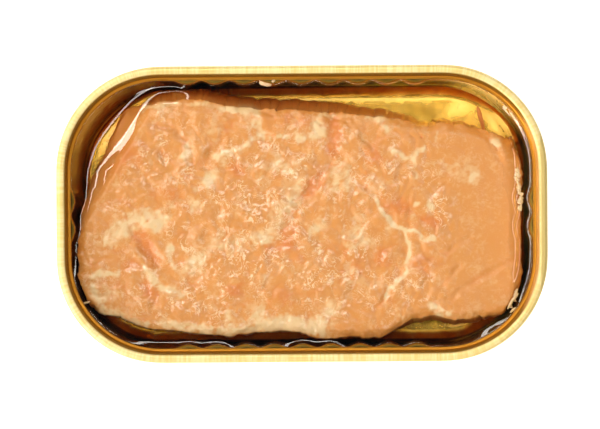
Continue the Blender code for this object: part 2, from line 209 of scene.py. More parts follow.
# Folds between the flakes, in millimetres: depth, half width, then the route
FOLDS = (
    (0.9, 1.5, (-35.7, -3.7), (-34.4, -5.7), (-32.7, -7.8), (-31.5, -9.7)),
    (0.45, 0.8, (-31.3, 19.3), (-27.2, 18.4), (-25, 15.6), (-23.8, 13.7), (-23.8, 11.1)),
    (0.5, 0.8, (-30.2, 13.7), (-29.4, 11.1), (-28.1, 9), (-27.4, 7.7)),
    (0.45, 0.8, (-35.6, 10.4), (-33.1, 7.3), (-31.9, 5.7)),
    (0.45, 0.7, (-43.2, 2.4), (-39.1, 3.7), (-37.6, 3.2), (-35.9, 1.7)),
    (0.45, 0.9, (-42.6, -7.5), (-39.2, -7.3), (-37.3, -8.8), (-34.5, -11.1)),
    (0.5, 1, (-34.5, -15.2), (-32.7, -16.8), (-31.9, -19.2)),
    (0.5, 0.8, (-45.9, -15), (-42, -14.2), (-38.4, -14.8), (-38.1, -18.3)),
    (0.2, 0.5, (-45.1, -17.3), (-41.8, -17.3), (-38.4, -17.5)),
    (0.5, 1.2, (-15.8, 19.2), (-18.2, 14.3), (-21.2, 10.6), (-24.7, 8.5)),
    (0.6, 1.5, (7, 20.3), (6.8, 15.8), (6.1, 11.1), (2.7, 6), (-0.4, 1.9), (-4.1, -4.5), (-6.9, -8.8)),
    (0.4, 1.1, (-25.5, -16.6), (-22.7, -13), (-18.3, -10)),
    (0.35, 0.6, (36.1, -5.6), (33.2, -6.6), (31.9, -7.8), (30.7, -8.8), (29.8, -8.6)),
    (0.35, 0.7, (34.1, -11.5), (31.9, -13.6), (30.4, -14.8), (29.4, -15.8)),
    (0.4, 0.8, (44.7, -10.5), (38.5, -14), (36, -15.4), (34.5, -16.6), (31.4, -18.7)),
    (0.3, 0.6, (27.6, -13.5), (27.1, -16.8), (26.5, -18.1)),
    (0.35, 0.7, (37.7, 18), (40.3, 16.1), (43.2, 10.5)), (0.4, 0.8, (11, 7.6), (14.7, 5.4), (16.2, 3.3)),
    (0.35, 0.3, (28.7, -3), (28.6, -4.5)), (0.4, 1, (16.2, 3.6), (22, -4.4), (22.6, -9.4), (17.4, -19)),
)
# Pinholes, in millimetres: place and radius
PITS = (
    (-30.9, 0.3, 0.35), (-29.7, 0.1, 0.2), (-33, -6, 0.2), (-31, -17.3, 0.25), (-29.3, -18.1, 0.25),
    (-37.3, -20, 0.25), (-18.2, 10.6, 0.15), (5.2, 6.1, 0.2), (11.4, 14.2, 0.15), (25.8, 16.3, 0.2),
    (24, 5.6, 0.15), (41.3, 14.7, 0.2), (41.7, 14.3, 0.22), (42.2, 13.6, 0.26),
)
# Pale fat, in millimetres: strength and half width, then the route of each vein
VEINS = (
    (0.7, 1, (-18.6, 12.6), (-15.4, 13.4), (-12.4, 14.7), (-10, 16.4), (-5.9, 16.8), (-2.1, 16.7),
     (-0.1, 15.9)), (0.9, 0.7, (19.7, 13.2), (21.8, 12.3), (23.7, 11.8), (25.5, 13.3), (25.9, 14)),
    (0.7, 0.5, (24.2, 11.4), (24.2, 9), (24.6, 7.3)),
    (1, 0.55, (15.7, 3.3), (16.6, 1.6), (17.8, -0.6), (20, -2.5), (22.1, -3.6), (24.5, -4), (25.8, -5.5),
     (28.2, -5.9)),
    (1, 0.6, (22.3, -4.2), (22.9, -6.9), (22.9, -9), (22.2, -11), (22.8, -12.7), (20.3, -14.7),
     (18.7, -16.7), (17.4, -18.8)), (0.8, 0.8, (-44.8, -13.1), (-41.9, -12.4), (-39.2, -12.7)),
    (0.8, 0.9, (-34.1, -11.3), (-32.4, -13.8), (-31.1, -15.4), (-28.3, -16.1), (-26.3, -16.6)),
    (0.7, 0.8, (-28.9, -6.1), (-28.4, -8.7), (-28, -11.2)), (0.5, 0.5, (29.2, 17.4), (29.1, 12.9)),
    (0.7, 1.2, (-45.3, -15.8), (-43.2, -20.6), (-34.4, -23.6)),
    (0.9, 1.3, (-30, -23.6), (-17.4, -25.2), (-9, -24.6), (-1.9, -24.2), (3.5, -25.4)),
    (0.6, 0.8, (-34, 22.8), (-26.5, 24), (-21, 23.8), (-15, 22.4), (-9, 22.4)),
    (0.5, 0.6, (4, 21.2), (12, 20.6)),
)
# Pale fat, in millimetres: middle, two half widths, turn in degrees and strength
PALE_PATCHES = (
    (-33.1, -1.5, 5.2, 2, 0, 1), (-39.6, -4.3, 3.4, 1.8, 40, 0.7), (-23.1, -10.6, 3.4, 1.8, 35, 0.9),
    (-24.4, 14.3, 1, 1.6, 0, 0.8), (-25.9, 12.6, 1.3, 1, 0, 0.7), (-20.2, 7.2, 1.4, 2, -20, 1),
    (-17.9, 12.3, 1.3, 1.3, 0, 0.6), (-23.1, 2.3, 1.6, 1.6, 0, 0.8), (-33.8, 1.1, 1.4, 0.9, 0, 0.5),
    (-12.9, 22.6, 2.4, 1.4, 0, 0.8), (-9.6, 19.6, 1.6, 2.2, 0, 0.6), (3.4, 17.6, 1.9, 2.4, -15, 1),
    (-2.1, 2.3, 3.4, 2.2, 45, 0.9), (8.9, 8.1, 2.6, 3.2, 0, 0.7), (-2.5, 9.9, 4.4, 2.6, 0, 0.6),
    (18.2, 17.9, 1.3, 0.8, -30, 0.9), (16.1, 20.5, 2.2, 0.7, 0, 0.9), (34.7, 8.3, 3.4, 2.2, 0, 0.6),
    (37.2, 7.2, 1, 1.4, 0, 0.7), (24.5, 1.8, 0.8, 0.7, 0, 0.8), (27.5, 1.4, 0.9, 1.3, 0, 0.9),
    (23.7, -1.1, 1, 0.6, 35, 0.6), (42, 14.9, 1.4, 0.8, -40, 1), (-7.6, -4.5, 2.6, 2, 40, 0.7),
    (3, -3, 3, 1.4, 35, 0.7), (-4, -23.4, 5, 1.6, 0, 0.7), (3.1, -24, 2.6, 1.6, 0, 0.8),
    (28.3, -5.3, 0.9, 0.7, 0, 0.9), (28, -20.1, 1.3, 1, -40, 1), (30.4, -21.4, 1.4, 0.6, 0, 1),
    (-15.6, -21, 2.4, 1.2, 60, 0.5), (-9.2, -20, 1.4, 2.4, 0, 0.5), (5.9, -20.3, 2, 1.4, 0, 0.5),
    (-42, -17.2, 3, 2.4, 0, 0.5), (13, -4, 2.4, 5, 20, 0.5), (11, -12, 2, 4, 10, 0.4),
    (-16, -6, 3, 2, 30, 0.6), (-20, 18, 2.5, 3, 0, 0.35),
)
# Deeper orange flesh, in millimetres: middle, two half widths, turn in degrees and strength
BRIGHT_PATCHES = (
    (-2.2, 20, 4, 1.8, 0, 0.6), (7.2, 16.9, 1.4, 3.4, 0, 1), (2.5, 6, 1.4, 2.4, -40, 1),
    (-13.7, 9.7, 2.4, 1.6, 0, 0.7), (15.6, 12.5, 2.4, 2.2, 0, 0.7), (-33.6, -6.5, 1.3, 2.6, 35, 1),
    (-2.6, -5.6, 1.6, 2.6, -30, 0.8), (-0.5, -9.9, 2, 1.6, 0, 0.6), (-33, -16.2, 2.2, 1.4, -40, 0.6),
    (-36.9, 12.9, 3.6, 2.6, 40, 0.6), (-14.5, -16.3, 2.6, 1.6, 0, 0.5), (8.1, -7.8, 2, 2, 0, 0.4),
    (11.3, -12.2, 2.6, 2, 0, 0.6), (27.5, -2, 2.4, 1.6, 0, 0.9), (21.1, 1.7, 2.6, 2.6, 0, 0.7),
    (-41.2, 9, 3, 1.6, 60, 0.5), (17, -9.5, 2, 2, 0, 0.7), (-28, 4.5, 3.4, 1.8, 0, 0.5),
    (-4, -18, 2.6, 2.2, 0, 0.5), (26, -11, 3, 2.4, 0, 0.5), (-37, -10.6, 2.6, 1, -25, 0.5),
)
# Where the fillet's top is broken up and glistens, in millimetres, as the patches above
GLINT_PATCHES = (
    (3.9, -12, 5, 9.5, 0, 1), (-9, 0.3, 9, 10.5, 20, 0.9), (29.7, -0.5, 1.8, 5.5, 0, 0.8),
    (-11.7, -10.8, 4.5, 4.5, 0, 0.9), (-28, 13, 6, 6.5, 0, 0.6), (-21.4, -17.4, 9, 4.5, 10, 0.8),
    (14, -12, 4, 8, 15, 0.5), (-2, 11, 8, 5, 10, 0.6), (-26, -6, 4, 6, 20, 0.6), (15, 8, 5, 6, 0, 0.35),
    (24, -17, 4, 4, 0, 0.5), (-36, -14, 6, 4, 0, 0.3), (21, 10, 4, 4, 0, 0.3),
)
# Painted reflections of the lamps: bright gold patches on the tray's floor, in millimetres, as the patches
# above
PAINTED_FLOOR_LIGHT = (
    (-41.4, 19, 7.5, 3.4, 50, 1), (42.6, 20.8, 5.5, 3, -45, 1), (35.2, 23, 4.5, 2.2, 15, 0.8),
    (36.6, -24, 6, 2, 22, 1), (20, 24.4, 14, 0.9, 0, 0.5),
)
# Painted light: the bright parts of the wall, in millimetres, as the patches above
PAINTED_WALL_LIGHT = (
    (40, 26, 8, 4, -35, 0.5), (50, 2, 1.6, 16, 0, 0.3), (44, -26, 12, 5, 40, 0.3),
)
# Where the floor's painted highlight line runs: inset from the rim's outline, half width, start and end
FLOOR_HIGHLIGHT_LINE = (6.75 * MM, 0.22 * MM, -12.0 * MM, 34.0 * MM)
# Below this height the tray is floor, and from here to the next its wall can carry painted light
FLOOR_TOP = 1.2 * MM
PAINTED_WALL_LIGHT_TOP = 18.0 * MM

# Where the oil's surface bends up, round the can: azimuth in degrees, then the distance in
# from the wall and the steepness of the wall's bend, the same of the fillet's bend, and the
# width of both bends, in millimetres
BENDS = (
    (-180, 2.6, 1, 2.9, 1, 0.5), (-174, 1.6, 1, 2, 1, 0.4), (-168, 1, 0.8, 1.5, 0.8, 0.4),
    (-162, 0.9, 0.3, 2.6, 0.2, 0.3), (-154, -1, 0.2, 2.6, 0, 0.2), (-143, -0.8, 0.62, 2.6, 0, 0.1),
    (-139, 1.2, 0.64, 2.7, 0, 0.1), (-134, 1.5, 0.66, 2.7, 0, 0.1), (-122, 1.4, 0.66, 2.8, 0, 0.1),
    (-117, 1.2, 0.64, 3, 0, 0.1), (-113, -0.6, 0.62, 3.2, 0, 0.1), (-100, -0.6, 0.62, 3, 0, 0.1),
    (-96, 1.3, 0.64, 2.4, 0, 0.1), (-90, 1.6, 0.64, 2.4, 0, 0.1), (-78, 1.4, 0.64, 2.2, 0, 0.1),
    (-71, -0.6, 0.62, 3.4, 0, 0.1), (-66, -0.8, 0.3, 3.6, 0, 0.2), (-42, -0.8, 0.3, 4, 0, 0.2),
    (-39.5, -0.6, 0.6, 4, 0, 0.15), (-36, 1.5, 0.64, 3.8, 0, 0.12), (-30, 1.1, 0.66, 3.8, 0, 0.12),
    (-26.5, -0.4, 0.64, 3.8, 0.2, 0.15), (-24.5, 0.2, 0.9, 3.6, 1, 0.25), (-21, 0.9, 1, 3.4, 1.5, 0.3),
    (-17, 0.8, 1, 3.2, 1.6, 0.25), (-9, 0.7, 1, 3.1, 1.6, 0.25), (0, 0.7, 1, 3.1, 1.6, 0.25),
    (9, 0.6, 1, 3, 1.6, 0.25), (14, 0.6, 1, 2.9, 1.6, 0.25), (20, 0.8, 1, 2.8, 1.5, 0.25),
    (25, 1.1, 1, 2.7, 1.4, 0.25), (28.5, 1.6, 1, 2.6, 1.3, 0.3), (31, 2, 0.3, 2.5, 0.2, 0.3),
    (42, 2, 0, 3, 0, 0.3), (112, 2, 0, 3.6, 0, 0.3), (127.3, 2, 0, 3, 0, 0.25),
    (128.8, 1.8, 1, 2.2, 1, 0.2), (131, 1.4, 1, 2.4, 1, 0.3), (134, 1.5, 1, 2.7, 0.9, 0.35),
    (137, 2, 1, 3.7, 0.85, 0.5), (139, 2.4, 1, 4.6, 0.8, 0.6), (142, 3.1, 1, 6.3, 0.78, 0.7),
    (146, 4, 1, 7.2, 0.76, 0.8), (150, 4.7, 1, 7.8, 0.76, 0.8), (155, 4.9, 1, 8, 0.76, 0.8),
    (160, 4.6, 1, 7.5, 0.76, 0.8), (167, 4, 1, 6.5, 0.78, 0.7), (173, 3.6, 1, 4.7, 0.85, 0.5),
    (176, 3.4, 1, 3.6, 1, 0.4), (180, 2.6, 1, 2.9, 1, 0.5),
)
# Where the oil stands higher between its low flats: azimuth in degrees and millimetres
LIFTS = (
    (-180, 0), (28.5, 0), (31, 0.5), (42, 0), (117, 0), (127.4, 0.5), (129.2, 0), (180, 0),
)
# How far the oil's flats lie below its level, in millimetres
OIL_DIP = 0.3
# How far the oil climbs at the fillet's right end and elsewhere, before its slope, in millimetres
END_CLIMB = 0.8
MOST_CLIMB = 3.5
# How steeply the surface goes down inside the fillet
SINKING_SLOPE = 0.6
# Steps of the surface from the wall to the fillet
OIL_STEPS = 52
# The search for the fillet from the wall: one step, the first and the last count of steps, how
# far above the oil's level its flesh is sure, and how far the oil goes on from there
REACH_STEP = 0.25 * MM
REACH_STEPS = (4, 90)
SURE_FLESH = 0.5 * MM
OIL_OVERLAP = 1.8 * MM
LEDGE = 0.2 * MM
# Heights of the oil's side above the foot of the ribs
WALL_HEIGHTS = (9.0 * MM, 14.5 * MM)
# Stations over which the oil's inner end is evened on each side, and shifts that even its surface
REACH_WINDOW = 7
EVEN_TURNS = (1, 2, -1, -2, 1, -1)

# Loose bits of fish, in millimetres: middle, three half sizes and turn in degrees
CRUMBS = (
    (-7.6, 28.2, 18.4, 1.25, 0.75, 0.6, -8), (-5.9, 28.7, 19.2, 0.5, 0.45, 0.3, 30),
    (-46.6, -18.8, 16.6, 0.9, 0.25, 0.3, 15), (45.6, -18.4, 16.9, 1.3, 0.35, 0.35, 50),
    (44.8, -19.6, 16.8, 1.2, 0.3, 0.3, 60), (38.7, 20.4, 12.5, 0.5, 2.4, 0.4, 14),
    (45.3, -21, 16.7, 0.9, 0.28, 0.3, 40),
)
# Trails of small ragged flakes, in millimetres: count, height, then both ends
TRAILS = (
    (46, 16, (46.3, 9.6), (47, 4.4)), (34, 16, (47.2, 4.2), (47.1, 0.2)),
    (14, 16, (46.3, -16.4), (44.6, -20.6)), (12, 15.6, (-42, -20.6), (-36, -23.4)),
)
TRAIL_SEED = 7
# How far the flakes stray along X and Y, and their least and greatest half size, in millimetres
TRAIL_WIDTHS = (0.22, 0.12)
FLAKE_HALF_SIZES = (0.12, 0.3)

# Colours that a user has no need to change
LAMP_COLOR = (1.0, 0.94, 0.83)
# Painted shade of the seam's lip and groove: dark amber and olive
LIP_SHADE_AMBER = (0.62, 0.27, 0.03, 1.0)
LIP_SHADE_OLIVE = (0.33, 0.23, 0.035, 1.0)
SPECK_BROWN = (0.16, 0.07, 0.012, 1.0)
# Painted light of the tray's floor and walls: bright gold
LIT_FLOOR_GOLD = (1.0, 0.82, 0.34, 1.0)
WHITE = (1.0, 1.0, 1.0, 1.0)


# --- Small helpers -------------------------------------------------------------------------


def smoothstep(low, high, value):
    """Rise smoothly from 0 at low to 1 at high, for one number or an array."""
    share = np.clip((value - low) / (high - low), 0.0, 1.0)
    return share * share * (3.0 - 2.0 * share)


def link_object(name, data):
    """Put an object with its data into the scene."""
    piece = bpy.data.objects.new(name, data)
    bpy.context.scene.collection.objects.link(piece)
    return piece


def mesh_object(name, bm, material):
    """Turn a bmesh into a smooth object."""
    mesh = bpy.data.meshes.new(name)
    bm.to_mesh(mesh)
    bm.free()
    mesh.shade_smooth()
    mesh.materials.append(material)
    return link_object(name, mesh)


def add_piece(name, bm, material, node=None):
    """Add a piece that rides on the can, in place of the node that it is given."""
    piece = mesh_object(name, bm, material)
    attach(piece, "root")
    if node:
        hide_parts(node)
    return piece


def loft(rows, around=None, across=None):
    """Skin closed loops, a row of points each, with a seam map in metres.

    around has each column's distance along the loop and one more for the full turn.
    """
    bm = bmesh.new()
    column = bm.verts.layers.int.new("column")
    level = bm.verts.layers.int.new("level")
    ring = [bm.verts.new(spot) for spot in rows[0]]
    for index, vert in enumerate(ring):
        vert[column] = index
    first = [bm.edges.new((ring[index - 1], ring[index])) for index in range(len(ring))]
    edges = first
    for number, row in enumerate(rows[1:], 1):
        made = bmesh.ops.extrude_edge_only(bm, edges=edges)["geom"]
        edges = [item for item in made if isinstance(item, bmesh.types.BMEdge)]
        for item in made:
            if isinstance(item, bmesh.types.BMVert):
                item.co = row[item[column]]
                item[level] = number
    if around:
        add_seam_map(bm, around, across)
    return bm, first, edges


def add_seam_map(bm, around, across):
    """Lay a UV map in metres over a loft: u along its loops and v from row to row."""
    column = bm.verts.layers.int["column"]
    level = bm.verts.layers.int["level"]
    seam = bm.loops.layers.uv.new("seam_map")
    full_turn = len(around) - 1
    for face in bm.faces:
        columns = [loop.vert[column] for loop in face.loops]
        wraps = max(columns) - min(columns) > 1
        for loop in face.loops:
            index = loop.vert[column]
            if wraps and index == 0:
                index = full_turn
            loop[seam].uv = (around[index], across[loop.vert[level]])


def profile_lengths(profile):
    """Distance along a profile at each of its rows."""
    lengths = [0.0]
    for before, after in zip(profile, profile[1:]):
        lengths.append(lengths[-1] + math.dist(before[:2], after[:2]))
    return lengths


# --- Loops round the can ---------------------------------------------------------------------


def rib_height(along, count):
    """Height from 0 to 1 of a side's ribs, at a distance along it from its middle."""
    phase = along / RIB_PITCH + count / 2.0
    if not 0.0 < phase < count:
        return 0.0
    return math.sin(math.pi * (phase % 1.0)) ** RIB_FULLNESS


def side_stations(count, half_straight, rib_steps):
    """Distances along a straight side from its middle, end points included."""
    half_ribs = count * RIB_PITCH / 2.0
    steps = max(count * rib_steps, 1)
    ribs = [half_ribs * (2.0 * step / steps - 1.0) for step in range(steps + 1)]
    return [-half_straight] + ribs + [half_straight]


def can_stations(rib_steps, corner_steps):
    """Stations round the rim's outer edge: point, inward direction and rib height."""
    stations = []
    half_x = CAN_LENGTH / 2.0
    half_y = CAN_WIDTH / 2.0
    for turn in range(4):
        angle = turn * math.pi / 2.0
        out = Vector((math.cos(angle), math.sin(angle)))
        along = Vector((-out.y, out.x))
        long_side = turn % 2 == 1
        reach = half_y if long_side else half_x
        straight = (half_x if long_side else half_y) - CORNER_RADIUS
        count = RIBS_LONG_SIDE if long_side else RIBS_SHORT_SIDE
        for distance in side_stations(count, straight, rib_steps):
            stations.append((out * reach + along * distance, -out, rib_height(distance, count)))
        centre = out * (reach - CORNER_RADIUS) + along * straight
        for step in range(1, corner_steps):
            bend = angle + step * math.pi / 2.0 / corner_steps
            ray = Vector((math.cos(bend), math.sin(bend)))
            stations.append((centre + ray * CORNER_RADIUS, -ray, 0.0))
    return stations


def distances_round(stations):
    """Distance along the outer edge at each station, and the full turn at the end."""
    lengths = [0.0]
    for before, after in zip(stations, stations[1:] + stations[:1]):
        lengths.append(lengths[-1] + (after[0] - before[0]).length)
    return lengths


def place(station, offset, height, rib_share=0.0):
    """Point of a loop at a station."""
    point, inwards, rib = station
    spot = point + inwards * (offset + RIB_DEPTH * rib * rib_share)
    return Vector((spot.x, spot.y, height))


def loft_profile(stations, profile):
    """Loft a profile of rows round the can: offset, height and, where there are ribs, their share."""
    rows = [[place(station, *row) for station in stations] for row in profile]
    return loft(rows, distances_round(stations), profile_lengths(profile))


def parallel(rows, distance):
    """Rows shifted to one side of a profile, inwards where it runs down."""
    shifted = []
    for index, (offset, height, *share) in enumerate(rows):
        before = rows[max(index - 1, 0)]
        after = rows[min(index + 1, len(rows) - 1)]
        run = Vector((after[0] - before[0], after[1] - before[1])).normalized()
        shifted.append((offset - run.y * distance, height + run.x * distance, *share))
    return shifted


def arc_rows(offset, height, radius, start, end, steps):
    """Rows along an arc round a centre, with angles in degrees."""
    angles = [math.radians(start + (end - start) * step / steps) for step in range(steps + 1)]
    return [(offset + radius * math.cos(angle), height + radius * math.sin(angle)) for angle in angles]


def shoulder_foot():
    """Height at which the neck's shoulder meets the ribbed wall."""
    return CAN_HEIGHT - FLANGE_DROP - NECK_HEIGHT - SHOULDER_HEIGHT


def wall_offset(height):
    """Offset of the wall's mid-sheet at a height between its foot and its top."""
    foot = BOTTOM_RADIUS + SKIN
    if height < foot:
        drop = min(foot - height, BOTTOM_RADIUS)
        return WALL_FOOT_OFFSET + BOTTOM_RADIUS - math.sqrt(BOTTOM_RADIUS ** 2 - drop ** 2)
    share = (height - foot) / (shoulder_foot() - foot)
    return WALL_FOOT_OFFSET + (WALL_TOP_OFFSET - WALL_FOOT_OFFSET) * share


def rib_foot():
    """Height at which the ribs begin."""
    return BOTTOM_RADIUS + SKIN + RIB_CLEARANCE


def rib_share(height):
    """Share of the ribs' depth at a height: full in the middle and gone at both ends."""
    low = smoothstep(rib_foot(), rib_foot() + RIB_FADE, height)
    high = 1.0 - smoothstep(shoulder_foot() - RIB_FADE * 0.5, shoulder_foot() + RIB_FADE, height)
    return float(min(low, high))


# --- Materials -------------------------------------------------------------------------------


def tinted(color, red=1.0, green=1.0, blue=1.0):
    """A colour with its parts multiplied, opaque."""
    return (color[0] * red, color[1] * green, color[2] * blue, 1.0)


class Shading:
    """The node tree of a material or a world, with short ways to add and link its nodes."""

    def __init__(self, owner, surface="Principled BSDF"):
        owner.use_nodes = True
        self.owner = owner
        self.tree = owner.node_tree
        self.surface = self.tree.nodes[surface]

    def fill(self, node, values):
        """Link or set a node's inputs."""
        for name, value in values.items():
            if isinstance(value, bpy.types.NodeSocket):
                self.tree.links.new(value, node.inputs[name])
            else:
                node.inputs[name].default_value = value

    def set(self, **values):
        """Link or set the surface shader's sockets."""
        self.fill(self.surface, {name.replace("_", " "): value for name, value in values.items()})

    def node(self, kind, inputs=(), **settings):
        """Add a node, set what it is told and link or set its inputs."""
        node = self.tree.nodes.new("ShaderNode" + kind)
        for name, value in settings.items():
            setattr(node, name, value)
        self.fill(node, dict(inputs))
        return node

    def coordinates(self, scale=(1.0, 1.0, 1.0), seam=False):
        """Coordinates of the object or its seam map, stretched."""
        if seam:
            start = self.node("UVMap", uv_map="seam_map").outputs["UV"]
        else:
            start = self.node("TexCoord").outputs["Object"]
        return self.node("Mapping", {"Vector": start, "Scale": scale}).outputs["Vector"]

    def axis(self, vector, name):
        """One part of a vector."""
        return self.node("SeparateXYZ", {"Vector": vector}).outputs[name]

    def masks(self, layer):
        """The red, green, blue and alpha of the masks that a piece carries."""
        stored = self.node("Attribute", attribute_name=layer).outputs
        parts = self.node("SeparateColor", {"Color": stored["Color"]}).outputs
        return parts["Red"], parts["Green"], parts["Blue"], stored["Alpha"]

    def noise(self, vector, scale, detail=3.0, roughness=0.5, distortion=0.0):
        """A noise between 0 and 1."""
        inputs = {"Vector": vector, "Scale": scale, "Detail": detail, "Roughness": roughness,
                  "Distortion": distortion}
        return self.node("TexNoise", inputs).outputs["Fac"]

    def remap(self, value, low, high, to_low=0.0, to_high=1.0, kind="SMOOTHSTEP"):
        """Stretch a value between two bounds, smoothly where nothing else is said."""
        inputs = {"Value": value, "From Min": low, "From Max": high, "To Min": to_low, "To Max": to_high}
        return self.node("MapRange", inputs, interpolation_type=kind).outputs["Result"]

    def math(self, operation, first, second=0.0):
        """One sum on two values."""
        return self.node("Math", {0: first, 1: second}, operation=operation).outputs["Value"]

    def times(self, first, second):
        """Two values multiplied."""
        return self.math("MULTIPLY", first, second)

    def blend(self, first, share, second, other):
        """Two values added, each at its share."""
        return self.math("ADD", self.times(first, share), self.times(second, other))

    def mix(self, share, first, second):
        """Mix two colours."""
        return self.node("Mix", {0: share, 6: first, 7: second}, data_type="RGBA").outputs[2]

    def bump(self, height, distance, **below):
        """A bump, on top of another one where it is given as Normal."""
        inputs = {"Height": height, "Distance": distance, "Strength": 1.0, **below}
        return self.node("Bump", inputs).outputs["Normal"]


def rim_finish(lip, crown_edge):
    """Gold lacquer on the rolled seam, with fine marks of the seaming rolls across it.

    lip and crown_edge are the seam map's v at the lip's edge and at the crown's inner edge,
    between which the lacquer carries painted shade in dark amber and olive.
    """
    look = bpy.context.scene.salmon_can
    shading = Shading(bpy.data.materials.new("rim_lacquer"))
    streaks = shading.noise(shading.coordinates((1500.0, 110.0, 1.0), seam=True), 1.0, 2.0, 0.6)
    broad = shading.noise(shading.coordinates((190.0, 40.0, 1.0), seam=True), 1.0, 2.0, 0.5)
    marks = shading.blend(streaks, 0.6, broad, 0.4)
    pale = tinted(look.rim_color)
    crown = shading.mix(shading.remap(marks, 0.38, 0.62), tinted(pale, 0.93, 0.84, 0.6), pale)
    across = shading.axis(shading.coordinates(seam=True), "Y")
    side = shading.axis(shading.coordinates(), "X")
    # Painted shade: the crown darker towards the right side, and darker still along its outer right edge
    painted_shade = shading.math("ADD", shading.remap(side, 30.0 * MM, 50.0 * MM, 0.0, 0.25),
                         shading.remap(side, 50.8 * MM, 51.2 * MM, 0.0, 0.75))
    crown = shading.mix(painted_shade, crown, tinted(pale, 0.70, 0.64, 0.45))
    # The groove in painted shade, olive, except on the right side where a painted highlight turns it pale
    groove = shading.mix(shading.remap(side, 46.0 * MM, 49.5 * MM), LIP_SHADE_OLIVE, pale)
    # Painted shade in dark amber next to the lip's edge
    groove = shading.mix(shading.remap(across, lip + 0.6 * MM, lip + 1.0 * MM), LIP_SHADE_AMBER, groove)
    crown_end = crown_edge + 0.45 * MM
    shading.set(Base_Color=shading.mix(shading.remap(across, crown_edge, crown_end), groove, crown),
                Metallic=shading.remap(across, crown_edge, crown_end, 1.0, look.rim_metal),
                Roughness=shading.remap(marks, 0.35, 0.65, 0.36, 0.5),
                Normal=shading.bump(streaks, 0.012 * MM))
    return shading.owner


def tray_finish():
    """Gold lacquer inside the tray: smooth walls with painted shade, a mottled floor with dark specks, and
    painted light in bright gold.
    """
    gold = tinted(bpy.context.scene.salmon_can.tray_color)
    shading = Shading(bpy.data.materials.new("tray_lacquer"))
    where = shading.coordinates()
    height = shading.axis(where, "Z")
    # Masks: painted light, mottling, painted shade of the walls, and the inner side
    painted_light, rolled, wall_shade, inside = shading.masks("floor")
    cloudy = shading.noise(where, 260.0, 4.0, 0.6)
    grains = shading.noise(where, 1500.0, 2.0, 0.5)
    crowd = shading.noise(where, 180.0, 2.0, 0.5)
    specks = shading.remap(shading.math("ADD", grains, shading.times(crowd, 0.35)), 0.80, 0.85)
    lacquer = shading.mix(shading.remap(cloudy, 0.35, 0.65), tinted(gold, 0.88, 0.80, 0.45), gold)
    # Painted shade on the ledges of the neck and shoulder
    ledge_shade = shading.times(shading.remap(height, 17.6 * MM, 18.8 * MM),
                           shading.remap(height, 21.0 * MM, 20.4 * MM))
    lacquer = shading.mix(ledge_shade, lacquer, tinted(gold, 0.42, 0.36, 0.25))
    # Painted shade, darker and olive, low on the inside walls in the gap under the oil
    gap_shade = shading.times(shading.remap(height, 15.5 * MM, 12.0 * MM),
                          shading.remap(height, 0.8 * MM, 2.0 * MM))
    lacquer = shading.mix(shading.times(gap_shade, inside), lacquer, tinted(gold, 0.42, 0.66, 0.8))
    # Painted shade on the walls away from the upper right
    lacquer = shading.mix(wall_shade, lacquer, tinted(gold, 0.34, 0.26, 0.12))
    # Painted light: bright gold with sparkle on the floor and parts of the wall
    sparkle = shading.remap(shading.noise(where, 900.0, 3.0, 0.6), 0.38, 0.62)
    lit = shading.mix(shading.times(sparkle, rolled), LIT_FLOOR_GOLD, tinted(LIT_FLOOR_GOLD, 1.0, 0.75, 0.4))
    lacquer = shading.mix(painted_light, lacquer, lit)
    pimples = shading.bump(shading.times(grains, rolled), 0.06 * MM)
    shading.set(Base_Color=shading.mix(shading.times(specks, rolled), lacquer, SPECK_BROWN),
                Roughness=shading.math("ADD", shading.remap(cloudy, 0.3, 0.7, 0.15, 0.22),
                                       shading.times(painted_light, 0.2)),
                Metallic=shading.remap(painted_light, 0.0, 1.0, 1.0, 0.05),
                Normal=shading.bump(shading.noise(where, 320.0, 2.0, 0.5), 0.12 * MM, Normal=pimples))
    return shading.owner


